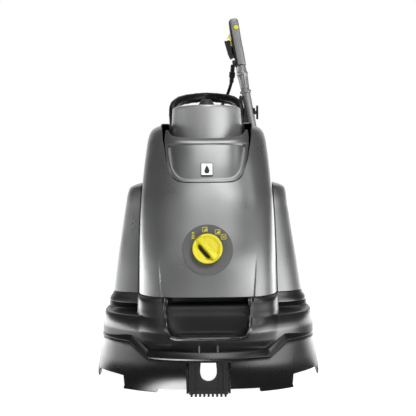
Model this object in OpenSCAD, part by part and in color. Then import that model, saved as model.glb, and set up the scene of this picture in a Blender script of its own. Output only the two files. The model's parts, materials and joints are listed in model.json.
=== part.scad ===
// Upright hot-water pressure washer: a wheeled stand-up machine with a black base,
// grey covers, a vertical boiler under a round hood, a push bow and a spray gun in its holder.
// Front is -Y, up is +Z, and the origin lies on the floor under the middle of the machine.

/* [Wheels] */
// Radius of the road wheels
wheel_r = 105; // [100:1:105]
// Width of one tyre
tyre_w = 40; // [34:1:40]
// Half of the width over the hub caps
half_w = 288; // [287:1:292]
// Radius of the axle
axle_r = 10; // [8:1:10]

/* [Controls] */
// Radius of the selector knob
knob_r = 37; // [30:1:40]
// Radius of the round dial plate behind the knob
dial_r = 63; // [58:1:66]
// How far the control panel leans back, in degrees
panel_lean = 13; // [11:1:15]

/* [Boiler hood] */
// Radius of the hood at its top edge
hood_top_r = 94; // [92:1:96]
// Radius of the hood at its foot
hood_foot_r = 101; // [99:1:102]
// Height of the top edge of the hood above the floor
hood_top_z = 728; // [720:1:734]

/* [Spray gun] */
// Lean of the stored lance, in degrees from upright
lance_lean = 10.27; // [10:0.1:10.5]
// Radius of the sleeve round the lance
lance_r = 12.8; // [12:0.2:13]

/* [Hose] */
// Outer diameter of the high-pressure hose
hose_d = 9.5; // [9:0.5:10]

/* [Shells] */
// Wall thickness of the moulded covers
wall = 3; // [2.4:0.2:3.2]

/* [Hidden] */
$fn = 64;

anthracite = [0.42, 0.43, 0.43];
black = [0.06, 0.06, 0.065];
signal_yellow = [0.93, 0.86, 0.12];
steel = [0.62, 0.63, 0.65];
brass = [0.78, 0.62, 0.3];

// ---- heights and places ----
shelf_z = 622;            // underside of the shelf round the foot of the hood
top_z = 677;              // underside of the top cover behind it
wheel_y = 309 - wheel_r;  // the axle stands this far behind the middle
wheel_in = half_w - 3 - tyre_w;
side_end = 75;            // the front wings end here, before the wheels
rear_half = 238;          // half width of the base between the wheels
boiler_y = 30;
lance_y = 140;
lance_foot = [131.1, lance_y, 693.6];   // a point on the lance's axis
coil_c = [0, 0, 480];     // middle of the hose coil, at the rear
coil_y = 222;             // front face of the hose coil
coil_pitch = 1.042 * hose_d;
coil_rings = 5;
coil_layers = 4;
coil_mid_r = 85.5;

// ---- profiles of the lofted covers: rows of [height, values...] ----
// front cover: half width, front y, y where the sides start, squareness, y where the sides end
cover_t = [[234, 177, -255, -100, 3.5, -92], [330, 176, -240, -97, 3.2, -92],
    [420, 174, -217, -95, 3, -92], [470, 171, -203, -90, 2.9, -80], [512, 168, -189, -72, 2.8, -40],
    [560, 161, -172, -50, 2.7, 20], [610, 156, -152, -34, 2.6, 20], [630, 153, -143, -28, 2.6, 20],
    [645, 149, -135, -22, 2.5, 20], [661, 140, -122, -16, 2.4, 20], [670, 128, -108, -12, 2.3, 20],
    [674, 118, -98, -10, 2.3, 20]];
// side covers: half width, depth of the front curve
pod_t = [[234, 254, 156], [312, 244, 149], [393, 233, 141], [446, 225, 136], [504, 213, 131],
    [510, 209, 128], [515, 201, 123], [519, 190, 116], [522, 180, 108]];
pod_y = 20;
// base, middle part: half width, depth, y0, squareness, end angle
mid_t = [[62, 252, 206, -60, 2, 44.3], [84, 256, 212, -60, 2, 44.3],
    [110, 270.5, 234, -60, 2, 44.3], [131, 271, 229.5, -60, 2, 44.3],
    [160, 215, 195, -90, 2.6, 70], [185, 190, 175, -97, 3.2, 82], [199, 184, 168, -99, 3.4, 86],
    [233, 179, 158, -100, 3.6, 88]];
// base, wings: half width, depth, y0, squareness
wing_t = [[62, 252, 206, -60, 2], [84, 256, 212, -60, 2], [110, 270.5, 234, -60, 2],
    [131, 271, 229.5, -60, 2], [160, 271, 196, -30, 2.6], [185, 268, 172, 0, 3], [199, 263, 160, 15, 3],
    [204, 257, 157, 20, 3],
    [233, 256, 157, 20, 3]];

function at(z, table, k) = lookup(z, [for (row = table) [row[0], row[k]]]);
function flat(lists) = [for (list = lists) for (item = list) item];
function unit(v) = v / norm(v);
function mix(a, b, f) = a + (b - a) * f;
// A quarter of a superellipse: t = 0 is the front, t = 90 the side
function arc_point(w, a, y0, n, t) = [w * pow(sin(t), 2 / n), y0 - a * pow(cos(t), 2 / n)];
// A half line from the right end to the middle, completed to the left end
function flip(p) = [-p[0], p[1], p[2]];
function full_line(half) = concat(half, [for (i = [len(half) - 2:-1:0]) flip(half[i])]);
function mirrored(half) = concat([for (i = [len(half) - 1:-1:1]) flip(half[i])], half);

// ---- solids from rings and grids ----
// Closed loops with the same number of points, counter-clockwise seen from the way they run
module skin(rings) {
    n = len(rings[0]);
    last = len(rings) - 1;
    sides = flat([for (i = [0:last - 1]) for (j = [0:n - 1]) let(
        a = i * n + j, d = i * n + (j + 1) % n, b = a + n, c = d + n) [[a, b, c], [a, c, d]]]);
    caps = [[for (j = [0:n - 1]) j], [for (j = [n - 1:-1:0]) last * n + j]];
    polyhedron(flat(rings), concat(sides, caps));
}

// A thick sheet between two grids of points; rows run up and columns run left to right from outside
module thick_sheet(outer, inner) {
    m = len(outer[0]);
    r = len(outer) - 1;
    o = r * m + m;
    function id(i, j) = i * m + j;
    faces = concat(
        flat([for (i = [0:r - 1]) for (j = [0:m - 2]) let(
            a = id(i, j), b = id(i + 1, j), c = id(i + 1, j + 1), d = id(i, j + 1))
            [[a, b, c], [a, c, d], [o + a, o + c, o + b], [o + a, o + d, o + c]]]),
        flat([for (j = [0:m - 2]) let(a = id(0, j), d = id(0, j + 1), b = id(r, j), c = id(r, j + 1))
            [[a, d, o + d], [a, o + d, o + a], [c, b, o + b], [c, o + b, o + c]]]),
        flat([for (i = [0:r - 1]) let(
            a = id(i, 0), b = id(i + 1, 0), d = id(i, m - 1), c = id(i + 1, m - 1))
            [[b, a, o + a], [b, o + a, o + b], [d, c, o + c], [d, o + c, o + d]]]));
    polyhedron(flat([flat(outer), flat(inner)]), faces);
}

// One ring of a tube of half sizes a and b, round the point p of a path with direction t
function tube_ring(p, t, a, b, sides) = let(u = unit(cross([0, 1, 0], t)), v = cross(t, u))
    [for (k = [0:sides - 1]) p + a * cos(360 * k / sides) * u + b * sin(360 * k / sides) * v];
function path_dir(path, i) = unit(path[min(i + 1, len(path) - 1)] - path[max(i - 1, 0)]);
module tube(path, a, b, sides = 10) {
    skin([for (i = [0:len(path) - 1]) tube_ring(path[i], path_dir(path, i), a, b, sides)]);
}
// A smooth curve through points, four steps for each stretch
function spline(p, steps = 4) = let(last = len(p) - 1) concat(flat([for (i = [0:last - 1]) let(
    a = p[max(i - 1, 0)], b = p[i], c = p[i + 1], d = p[min(i + 2, last)])
    [for (s = [0:steps - 1]) let(f = s / steps) 0.5 * (2 * b + (c - a) * f
        + (2 * a - 5 * b + 4 * c - d) * f * f + (3 * b - a - 3 * c + d) * f * f * f)]]),
    [p[last]]);

module ring(outer_r, inner_r, h) {
    difference() {
        cylinder(r = outer_r, h = h);
        translate([0, 0, -1]) cylinder(r = inner_r, h = h + 2);
    }
}
module along_x(x, y, z) { translate([x, y, z]) rotate([0, 90, 0]) children(); }
module both_sides() { children(); mirror([1, 0, 0]) children(); }
module rounded(w, h, r) { offset(r = r) square([w - 2 * r, h - 2 * r], center = true); }

// ---- front cover, with a U-shaped opening at its top ----
cover_angles = [0, 6, 12, 16, 20, 24, 27, 30, 34, 38, 43, 48, 54, 62, 72, 82, 90];
cover_sides = [0.34, 0.67, 1];
cover_rows = [0, 0.1, 0.2, 0.3, 0.4, 0.5, 0.6, 0.7, 0.78, 0.85, 0.9, 0.94, 0.97, 1];
// top edge of the cover for each angle of the plan curve; above 90 it runs back along the side
cover_top = [[0, 515], [14, 516], [20, 521], [24.5, 531], [29, 551], [35, 582], [43, 628], [48, 650],
    [60, 666], [75, 673], [90, 674], [91, 662], [92, 650]];
function cover_xy(s, z, inset) = let(w = at(z, cover_t, 1) - inset, y0 = at(z, cover_t, 3),
    a = y0 - at(z, cover_t, 2) - inset)
    s <= 90 ? arc_point(w, a, y0, at(z, cover_t, 4), s) : [w, mix(y0, at(z, cover_t, 5), (s - 90) / 2)];
function cover_point(s, v, inset) = let(
    z = 234 + v * (lookup(s, cover_top) - 234), p = cover_xy(s, z, inset)) [p[0], p[1], z];
function cover_grid(inset) = [for (v = cover_rows) mirrored(concat(
    [for (t = cover_angles) cover_point(t, v, inset)],
    [for (f = cover_sides) cover_point(90 + 2 * f, v, inset)]))];
// a frame on the leaning control panel, at the middle of the dial
dial_at = [0, -235.2, 350];
module on_panel() { translate(dial_at) rotate([90 - panel_lean, 0, 0]) children(); }
module front_cover() {
    color(anthracite) difference() {
        thick_sheet(cover_grid(0), cover_grid(wall));
        on_panel() translate([0, 0, -30]) cylinder(r = dial_r + 0.8, h = 60);
    }
}

// ---- badge cover: the set-back panel in the U, its raised lip and the collar round the hood ----
// the outline of the piece and the edge of its set-back panel, as [x, z] from the bottom to the top
badge_outer = [[0, 517], [30, 517.3], [55, 518.3], [70, 521], [82, 527], [91, 537], [97.5, 549],
    [101.5, 563], [105, 583], [107.8, 604], [109.6, 624], [110, 640], [108.5, 652], [106, 657.5],
    [102, 656], [98.5, 649], [92, 642], [82, 637.5], [66, 635], [40, 633.5], [0, 633]];
badge_inner = [[0, 522], [29, 522.3], [52, 523.3], [65, 526], [75, 531.5], [83, 540.5], [89, 552],
    [93, 565.5], [96.6, 584.5], [99.2, 602], [100.5, 611], [100.7, 614], [100, 615.5], [99, 616.2],
    [96, 616.6], [90, 617], [84, 617.2], [75, 617.2], [60, 617], [36, 616.6], [0, 616.5]];
badge_y = [[517, -181], [560, -168], [600, -152], [617, -144], [625, -140], [633, -131], [645, -121],
    [657, -112]];
badge_recess = [[517, 9], [560, 7], [600, 4], [616, 2.5]];
function badge_loop(mid, f, back, recess) = let(
    half = [for (i = [0:20]) let(
        p = mid == 0 ? mix(badge_outer[i], badge_inner[i], f) : mix(badge_inner[i], [0, 570], f))
        [p[0], f > 0.9 && mid == 1 ? -165 + back : lookup(p[1], badge_y) + 27 * pow(p[0] / 113, 4.5) + back
            + recess * (lookup(p[1], badge_recess) + 8 * pow(p[0] / 100, 2)), p[1]]])
    concat(half, [for (i = [19:-1:1]) flip(half[i])]);
module badge_cover() {
    // which part, how far in, set back, share of the recess
    loops = [[1, 0.98, 13.5, 1], [1, 0.05, 4, 1], [0, 0, 9, 0], [0, 0, 1.2, 0], [0, 0.14, 0, 0],
        [0, 0.88, 0, 0], [1, 0, 1, 0], [1, 0.03, 0, 1], [1, 0.2, 0, 1], [1, 0.4, 0, 1], [1, 0.6, 0, 1],
        [1, 0.8, 0, 1], [1, 0.98, 7.5, 1]];
    color(anthracite) skin([for (p = loops) badge_loop(p[0], p[1], p[2], p[3])]);
}
module badge() {
    color("white") translate([0, -166.6, 550]) rotate([73, 0, 0]) linear_extrude(1.6) rounded(31, 34, 3);
}

// ---- side covers ----
pod_angles = [0, 0.12, 0.25, 0.4, 0.55, 0.7, 0.85, 1];
torso_n = 2.3;
torso_t = [[234, 172], [420, 170], [500, 166], [560, 158], [600, 153], [640, 147], [660, 138], [670, 131],
    [676, 126]];
function torso_w(z) = at(z, torso_t, 1);
function torso_x(z, y) = torso_w(z) * pow(1 - pow((y - 16) / 199, torso_n), 1 / torso_n);
function pod_half(z, inset) = let(w = at(z, pod_t, 1) - inset, a = at(z, pod_t, 2) - inset,
    x_in = at(z, cover_t, 1) + 4, t0 = asin(pow(x_in / w, 1.5)),
    back = torso_x(min(z, 500), 88) + 4) concat(
    [for (f = pod_angles) let(p = arc_point(w, a, pod_y, 3, mix(t0, 90, f))) [p[0], p[1], z]],
    [[w, 50, z], [w, 82 - inset, z], [w - 2, 87 - inset, z], [w - 7, 89 - inset, z],
        [max(back, w - 60), 89 - inset, z], [back, 89 - inset, z]]);
module side_cover() {
    heights = [for (row = pod_t) row[0]];
    color(anthracite)
        thick_sheet([for (z = heights) pod_half(z, 0)], [for (z = heights) pod_half(z, wall)]);
}

// ---- base tray: a tub with bulging wings, notched for the carrying grip ----
mid_steps = [0, 0.15, 0.3, 0.45, 0.6, 0.75, 0.9, 1];
function base_half(z, inset) = let(te = at(z, mid_t, 5), nm = at(z, mid_t, 4), nw = at(z, wing_t, 4),
    wm = at(z, mid_t, 1) - inset, am = at(z, mid_t, 2) - inset, ym = at(z, mid_t, 3),
    w = at(z, wing_t, 1) - inset, aw = at(z, wing_t, 2) - inset, yw = at(z, wing_t, 3),
    xs = arc_point(wm, 1, 0, nm, te)[0] + 1.5, t0 = asin(pow(xs / w, nw / 2))) concat(
    [for (f = mid_steps) let(p = arc_point(wm, am, ym, nm, te * f)) [p[0], p[1], z]],
    [for (f = mid_steps) let(p = arc_point(w, aw, yw, nw, mix(t0, 90, f))) [p[0], p[1], z]],
    [[w, side_end - 6 - inset, z], [w - 6, side_end - inset, z], [rear_half - inset, side_end + 2, z],
        [rear_half - inset, 272, z], [rear_half - 12 - inset, 285 - inset, z], [120, 285 - inset, z]]);
function base_ring(z, inset) = let(half = base_half(z, inset)) concat(
    [for (p = half) p], [[0, 285 - inset, z]],
    [for (i = [len(half) - 1:-1:1]) [-half[i][0], half[i][1], z]]);
grip_shape = [[-101, 240], [101, 240], [101, 205], [97, 160], [88, 145], [76, 142], [-76, 142], [-88, 145],
    [-97, 160], [-101, 205]];
module grip_prism(grow, y1, y2) {
    translate([0, y2, 0]) rotate([90, 0, 0]) linear_extrude(y2 - y1)
        offset(delta = grow) polygon(grip_shape);
}
module base_tray() {
    outer_z = [62, 84, 110, 131, 145, 160, 172, 185, 193, 199, 204, 233];
    inner_z = [233, 204, 199, 185, 160, 131, 110, 84, 66];
    color(black) difference() {
        skin(concat([for (z = outer_z) base_ring(z, 0)], [for (z = inner_z) base_ring(z, 4)]));
        grip_prism(0, -320, -200);
        both_sides() along_x(220, wheel_y, wheel_r) cylinder(r = 15.1, h = 40);
        translate([215, 260, 170]) rotate([-90, 0, 0]) cylinder(r = 12.2, h = 40);
        foot_pocket(52, 0);
    }
    color(black) intersection() {
        difference() {
            foot_pocket(56, 4);
            foot_pocket(52, 0);
        }
        translate([-60, -272, 62.5]) cube([120, 160, 60]);
    }
}
// the space below the floor of the tray that the foot stands in, open to the front and below
module foot_pocket(half, grow) {
    translate([-half, 0, 0]) rotate([90, 0, 90]) linear_extrude(2 * half) offset(delta = grow)
        polygon([[-330, 40], [-330, 92], [-256, 92], [-256, 83], [-160, 64], [-160, 40]]);
}
// a pocket behind the notch, where fingers reach in to lift the machine
module carry_grip() {
    color(black) difference() {
        intersection() {
            grip_prism(-0.6, -292, -210);
            translate([-120, -292, 100]) cube([240, 90, 132.4]);
        }
        grip_prism(-4, -300, -214);
        translate([-97, -310, 222]) cube([194, 82, 6]);
        translate([-120, -320, 100]) rotate([-17.5, 0, 0]) translate([0, -60, 0]) cube([240, 72.5, 200]);
    }
}

// ---- skirt and ridge below the base ----
skirt_x = [0, 30, 53.7, 54.3, 80, 105, 127, 129, 150, 172, 194, 213, 215, 235, 255, 270];
skirt_sides = [-60, -30, 0, 35, 70];
skirt_top = [[0, 97], [150, 97], [194, 131], [400, 131]];
skirt_low = [[0, 84], [53.8, 84], [54.2, 15], [127.5, 13], [128.5, 3.2], [213.5, 3.2], [214.5, 38],
    [270, 41], [285, 9], [315, 8], [345, 24], [415, 60]];
function skirt_plan(x, y, drop, inset) = // x runs to 281 on the ridge's ellipse, then y runs back
    let(w = mix(281, 296, drop) - inset, a = mix(249, 216, drop) - inset, t = asin(x / 281))
    x < 281 ? [w * sin(t), -60 - a * cos(t)] : [w, y];
function skirt_column(x, y, inset) = let(top = lookup(x, skirt_top),
    low = lookup(x < 281 ? x : 345 + y, skirt_low),
    rows = [[top + 6, 0, 4.5], [top, 0, 0], [top - 6, 0, 1], [top - 10, 0.03, 4],
        [mix(low, top - 10, 0.6), 0.4, 4], [mix(low, top - 10, 0.25), 0.78, 4], [low, 1, 4]])
    [for (row = rows) let(p = skirt_plan(x, y, row[1] * min(1, (top - low) / 60), row[2] + inset))
        [p[0], p[1], row[0]]];
function skirt_grid(inset) = let(half = concat([for (x = skirt_x) skirt_column(x, 0, inset)],
    [for (y = skirt_sides) skirt_column(281, y, inset)]))
    [for (i = [len(half[0]) - 1:-1:0]) mirrored([for (column = half) column[i]])];
module bumper_skirt() {
    color(black) {
        thick_sheet(skirt_grid(0), skirt_grid(3));
        for (x = [-22, 22]) translate([x, -299, 101]) hull() {
            sphere(r = 3.4, $fn = 24);
            translate([0, 4.5, 20]) sphere(r = 3, $fn = 24);
        }
    }
}
// rubber blocks under the front corners, which carry the machine
module foot_pads() {
    color(black) both_sides() {
        hull() for (x = [132, 170, 209]) {
            translate([x, -60 - 202 * sqrt(1 - pow(x / 281, 2)) + 10, 0]) cylinder(r = 5, h = 3, $fn = 32);
            translate([x, -60 - 202 * sqrt(1 - pow(x / 281, 2)) + 34, 0]) cylinder(r = 5, h = 3, $fn = 32);
        }
        translate([170, -197, 2.9]) cylinder(r = 9, h = 59);
    }
}
// the tread foot in the middle of the front, with a notch above and a toothed edge below
module front_foot() {
    color(black) {
        difference() {
            union() {
                both_sides() translate([36, -292, 6]) cube([11, 30, 78]);
                translate([-37, -286, 8]) cube([74, 8, 76]);
                translate([-46, -292, 7]) cube([92, 34, 7]);
                both_sides() translate([24, -290, 8]) cube([5, 12, 76]);
                translate([-50, -278, 83]) cube([100, 16, 8.8]);
            }
            hull() {
                translate([0, -300, 60]) rotate([-90, 0, 0]) scale([1, 1.2, 1])
                    cylinder(r = 20, h = 60, $fn = 32);
                translate([-18, -300, 82]) cube([36, 60, 2]);
            }
            both_sides() translate([41, -293, 14]) cube([2, 3, 70]);
        }
        for (k = [-4:4]) translate([k * 10.2 - 2.6, -292, 0]) cube([5.2, 34, 7.5]);
    }
}

// ---- rear and top covers ----
rear_heights = [238, 320, 420, 500, 560, 600, 640, 660, 670, 676];
rear_steps = [0, 10, 20, 30, 40, 50, 60, 70, 80, 90];
function rear_half_line(z, inset) = let(w = torso_w(z) - inset) concat(
    [for (t = rear_steps) let(p = arc_point(w, 199 - inset, 0, torso_n, t)) [p[0], 16 - p[1], z]]);
// from the right edge round the back to the left
function rear_line(z, inset) = let(half = rear_half_line(z, inset))
    concat([for (i = [len(half) - 1:-1:0]) half[i]], [for (i = [1:len(half) - 1]) flip(half[i])]);
module rear_cover() {
    color(black) {
        thick_sheet([for (z = rear_heights) rear_line(z, 0)], [for (z = rear_heights) rear_line(z, wall)]);
        difference() {
            translate([0, 0, 234]) linear_extrude(4.2) difference() {
                polygon([[-237, 94], [237, 94], [237, 272], [226, 284], [-226, 284], [-237, 272]]);
                polygon(concat([[-154, 90]], [[154, 90]],
                    [for (i = [2:9]) let(p = rear_half_line(238, 2)[9 - i]) [p[0], p[1]]],
                    [for (i = [1:7]) let(p = rear_half_line(238, 2)[i]) [-p[0], p[1]]]));
            }
            translate([-105.3, 226.9, 230]) cylinder(r = 9, h = 12);
            translate([165, 248, 230]) cylinder(r = 27, h = 12);
        }
        translate([0, 203.5, coil_c[2]]) rotate([-90, 0, 0]) cylinder(r = 70, h = 12.8);
    }
}
well_r = 103.4;
module top_cover() {
    color(black) {
        difference() {
            union() {
                translate([0, 0, top_z]) linear_extrude(6) polygon(concat(
                    [[-111, -30], [111, -30], [111, 15]],
                    [for (t = [90:-10:-90]) let(p = arc_point(125, 198, 0, torso_n, abs(t)))
                        [sign(t) * p[0], 16 - p[1]]], [[-111, 15]]));
                translate([0, boiler_y, shelf_z]) cylinder(r = well_r + 3, h = top_z - shelf_z + 1);
            }
            translate([0, boiler_y, shelf_z - 1]) cylinder(r = well_r, h = 80);
            translate([-150, -200, shelf_z - 1]) cube([300, 170, 80]);
            both_sides() translate([98, 96, top_z - 1]) cylinder(r = 5.2, h = 10);
        }
        difference() {
            translate([0, 0, shelf_z]) linear_extrude(5) polygon(concat(
                [for (t = [-90:10:90]) let(p = arc_point(147, 93, -25, 2.4, abs(t)))
                    [sign(t) * p[0], p[1]]],
                [[147, 12], [-147, 12]]));
            translate([0, boiler_y, shelf_z - 1]) cylinder(r = 92, h = 10);
        }
    }
}

// ---- boiler hood and flue ----
module boiler_hood() {
    color(anthracite) translate([0, boiler_y, 0]) difference() {
        rotate_extrude($fn = 96) polygon(concat(
            [[hood_foot_r, shelf_z + 5.4], [hood_top_r, hood_top_z - 8]],
            [for (t = [15:15:90]) [hood_top_r - 8 + 8 * cos(t), hood_top_z - 8 + 8 * sin(t)]],
            [[62, hood_top_z + 4], [62, hood_top_z - 1], [hood_top_r - 9, hood_top_z - 4],
                [hood_top_r - 3, hood_top_z - 10], [hood_foot_r - 3, shelf_z + 5.4]]));
    }
}
module flue_grille() {
    color(black) translate([0, boiler_y, hood_top_z - 4]) difference() {
        ring(61.4, 14, 5);
        for (r = [22, 32, 42, 52]) for (k = [0:5]) rotate(60 * k)
            rotate_extrude(angle = 46, $fn = 64) translate([r, -1]) square([5.5, 8]);
    }
}
module flue_cap() {
    color([0.25, 0.25, 0.26]) translate([0, boiler_y, hood_top_z + 1.2]) rotate_extrude($fn = 48) polygon(
        [[0, 0], [19, 0], [23, 3], [23, 8], [15, 21], [11, 23.5], [0, 24.5]]);
    color(black) translate([0, boiler_y, hood_top_z - 8]) cylinder(r = 13.8, h = 9);
}

// ---- push bow ----
bow_half = [[98, 96, top_z + 6.3], [98, 96, 698], [98, 97, 715], [96, 104, 740], [86, 124, 756],
    [66, 153, 768], [36, 181, 778], [0, 196, 783]];
function bow_line() = spline(full_line(bow_half), 3);
module push_bow() {
    line = bow_line();
    last = len(line) - 1;
    color(black) {
        skin([for (i = [0:last]) let(half_width = mix(8, 11.5, min(1, i / 15, (last - i) / 15)))
            tube_ring(line[i], path_dir(line, i), half_width, 13, 12)]);
        both_sides() translate([98, 96, top_z + 0.5]) cylinder(r = 4.9, h = 20);
    }
}
module bow_screws() {
    color(steel) both_sides() translate([98, 96, top_z - 6.9]) {
        cylinder(r = 8, h = 5, $fn = 6);
        translate([0, 0, 5]) cylinder(r = 10, h = 1.6);
    }
}

// ---- dial, knob and switch: z runs out of the panel ----
module dial_plate() {
    color([0.2, 0.2, 0.2]) on_panel() difference() {
        translate([0, 0, -5.5]) cylinder(r = dial_r, h = 6);
        translate([0, 0, -6]) cylinder(r = 6.2, h = 8);
    }
}
mark_angles = [-44, -7, 30, 52];
module dial_marks() {
    color(signal_yellow) on_panel() for (a = mark_angles)
        rotate(-a) translate([0, 50, 0.55]) linear_extrude(0.6) difference() {
            square([12, 10], center = true);
            square([9, 7], center = true);
        }
}
module selector_knob() {
    color(signal_yellow) on_panel() {
        translate([0, 0, 1]) difference() {
            cylinder(r = knob_r, h = 12);
            translate([0, 0, -1]) cylinder(r = knob_r - 4, h = 6);
            translate([0, 0, 4]) cylinder(r = 4.02, h = 7.9);
        }
        rotate(40) intersection() {
            translate([0, 0, 12]) cylinder(r = knob_r - 2, h = 18);
            hull() {
                translate([-7, -40, 12]) cube([14, 80, 15]);
                translate([-9, -44, 12]) cube([18, 88, 1]);
            }
        }
    }
}
module knob_shaft() {
    color(steel) on_panel() translate([0, 0, -18]) {
        cylinder(r = 4, h = 29.8);
        translate([0, 0, 14]) cylinder(r = 6, h = 9.5);
    }
}
module rotary_switch() {
    color("dimgray") on_panel() difference() {
        translate([-22, -22, -60]) cube([44, 44, 50]);
        translate([0, 0, -20]) cylinder(r = 4.06, h = 30);
    }
}
module control_box() {
    color("silver") translate([0, -150, 365]) difference() {
        cube([150, 46, 110], center = true);
        cube([144, 40, 104], center = true);
        translate([0, -22, -10]) cube([60, 10, 60], center = true);
    }
}

// ---- wheels: z of the local frame runs outward along the axle, from the tyre's inner face ----
module at_wheel(side) { along_x(side > 0 ? wheel_in : -wheel_in, wheel_y, wheel_r)
    rotate([side > 0 ? 0 : 180, 0, 0]) children(); }
module tyre() {
    r = wheel_r;
    t = tyre_w;
    rotate_extrude($fn = 128) polygon([[r - 36, 3], [r - 30, 0], [r - 12, 0], [r - 4, 4], [r, 12],
        [r, t - 12], [r - 4, t - 4], [r - 12, t], [r - 30, t], [r - 36, t - 3]]);
}
module wheel_hub() {
    r = wheel_r - 36.2;
    difference() {
        union() {
            ring(r, r - 8, tyre_w - 4);
            translate([0, 0, tyre_w / 2 - 6]) cylinder(r = r - 4, h = 8);
            cylinder(r = 22, h = tyre_w - 2);
        }
        translate([0, 0, -1]) cylinder(r = axle_r + 0.06, h = tyre_w + 2);
        for (k = [0:6]) rotate(360 / 7 * k) translate([r * 0.58, 0, 0]) cylinder(r = 14, h = tyre_w);
    }
}
module hub_caps() {
    translate([0, 0, tyre_w - 1.9]) rotate_extrude() polygon([[19, 0], [22, 0], [22, 2], [19, 4.6], [0, 4.9],
        [0, 3.4], [18, 3.2]]);
}
// the axle with its end washers, which hold the wheels on
module axle() {
    end_x = half_w - 3.4;
    color(steel) {
        along_x(-end_x, wheel_y, wheel_r) cylinder(r = axle_r, h = 2 * end_x);
        both_sides() along_x(end_x - 1.4, wheel_y, wheel_r) cylinder(r = 15, h = 1.4);
    }
}
module axle_bushes() {
    color("white") both_sides() along_x(229, wheel_y, wheel_r) difference() {
        union() {
            cylinder(r = 14.9, h = 15.4);
            cylinder(r = 20, h = 4.7);
        }
        translate([0, 0, -1]) cylinder(r = axle_r + 0.06, h = 30);
    }
}
module mudguard() {
    color(black) along_x(239, wheel_y, wheel_r) rotate(140) {
        rotate_extrude(angle = 120, $fn = 96) translate([wheel_r + 12, 0]) square([4, 29]);
        rotate_extrude(angle = 120, $fn = 96) translate([wheel_r - 20, 0]) square([33, 4]);
    }
}

// ---- lance, gun and their holders: local z runs up the lance ----
module on_lance() { translate(lance_foot) rotate([0, -lance_lean, 0]) children(); }
lance_low = -455;
module lance_tube() {
    color(steel) on_lance() {
        translate([0, 0, lance_low + 18]) cylinder(r = 7.4, h = 74.5 - lance_low);
        translate([0, 0, lance_low]) cylinder(r1 = 6.5, r2 = 9, h = 18.5);
    }
}
module lance_sleeve() {
    color(anthracite) on_lance() translate([0, 0, -330]) difference() {
        cylinder(r = lance_r, h = 422);
        translate([0, 0, -1]) cylinder(r = 7.4, h = 430);
    }
}
module lance_collar() {
    color(anthracite) on_lance() translate([0, 0, 92.4]) rotate_extrude() polygon([[7.46, 0], [16, 0],
        [16.6, 2], [16, 7], [13, 8], [12, 14], [7.46, 14]]);
}
module lance_grip() {
    color([0.55, 0.55, 0.56]) on_lance() difference() {
        rotate_extrude() polygon([[0, 107], [12.8, 107], [15.4, 144], [16.2, 147], [16.2, 152], [14.6, 155],
            [13.8, 172.8], [0, 172.8]]);
        for (k = [0:9]) rotate(36 * k + 18) translate([16.6, 0, 110]) rotate([0, 3, 0])
            cylinder(r = 2.6, h = 33);
    }
}
gun_outline = [[-14.6, 173.4], [-14.2, 211], [-13.3, 276], [-11.4, 303], [-7, 310.6], [11, 311], [16.4, 306],
    [17.2, 292], [16, 247], [16.3, 203], [15.6, 173.4]];
gun_split = -6;           // the soft grip covers the body to the left of this
module gun_plate(half_y) {
    intersection() {
        translate([0, half_y, 0]) rotate([90, 0, 0]) linear_extrude(2 * half_y) polygon(gun_outline);
        hull() for (z = [170, 320]) translate([1, 0, z]) scale([1.25, 1, 1])
            cylinder(r = 15.4, h = 1, $fn = 48);
    }
}
module gun_slot() { translate([-30, -5, 197.5]) cube([30.6, 10, 84]); }
button_at = [7, 0, 283];
module gun_body() {
    color(anthracite) on_lance() difference() {
        intersection() {
            gun_plate(15);
            translate([gun_split + 0.2, -20, 170]) cube([40, 40, 160]);
        }
        gun_slot();
        translate(button_at) translate([0, -9.8, 0]) rotate([90, 0, 0]) cylinder(r = 6.2, h = 8);
    }
}
// the soft rear of the handle; the trigger's pin runs in its two cheeks
module gun_soft_grip() {
    color(black) on_lance() difference() {
        intersection() {
            gun_plate(14.4);
            translate([-30, -20, 170]) cube([30 + gun_split, 40, 160]);
        }
        gun_slot();
        translate([trigger_pin[0], 20, trigger_pin[2]]) rotate([90, 0, 0]) cylinder(r = 2.06, h = 40);
    }
}
module gun_button() {
    color(signal_yellow) on_lance() translate(button_at) translate([0, -12.2, 0]) rotate([90, 0, 0])
        cylinder(r = 6, h = 3.6);
}
trigger_pin = [-10, 0, 203];
latch_pin = [-15.8, 0, 231];
module trigger() {
    color(black) on_lance() {
        translate([0, 4.4, 0]) rotate([90, 0, 0]) linear_extrude(8.8) polygon([[-33.8, 250.5], [-32.6, 252.4],
            [-28, 251.6], [-21, 252.6], [-18.6, 253], [-17.9, 248], [-18.2, 235], [-18.2, 222], [-17.6, 208],
            [-10, 206.8], [-7, 205.6], [-6.2, 203], [-7, 200.4], [-10, 199.2], [-18, 199], [-20.5, 197.6],
            [-24, 195.5], [-27, 199], [-30.2, 211]]);
        translate([trigger_pin[0], 11, trigger_pin[2]]) rotate([90, 0, 0]) cylinder(r = 2, h = 22);
        for (y = [-4.4, 3.2]) translate([-19, y, 227.5]) cube([6.4, 1.2, 7]);
        translate([latch_pin[0], 4, latch_pin[2]]) rotate([90, 0, 0]) cylinder(r = 1, h = 8);
    }
}
module safety_latch() {
    color(signal_yellow) on_lance() difference() {
        translate([0, 3, 0]) rotate([90, 0, 0]) linear_extrude(6) polygon([[-14.6, 271], [-18.4, 266.5],
            [-27, 255.6], [-25.6, 253.8], [-21, 255.6], [-17.6, 257.6], [-16.7, 250], [-17.4, 236], [-17.6, 231],
            [-15.8, 228.9], [-13.9, 231], [-13.9, 236], [-14.3, 250]]);
        translate([latch_pin[0], 5, latch_pin[2]]) rotate([90, 0, 0]) cylinder(r = 1.05, h = 10);
    }
}
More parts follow.
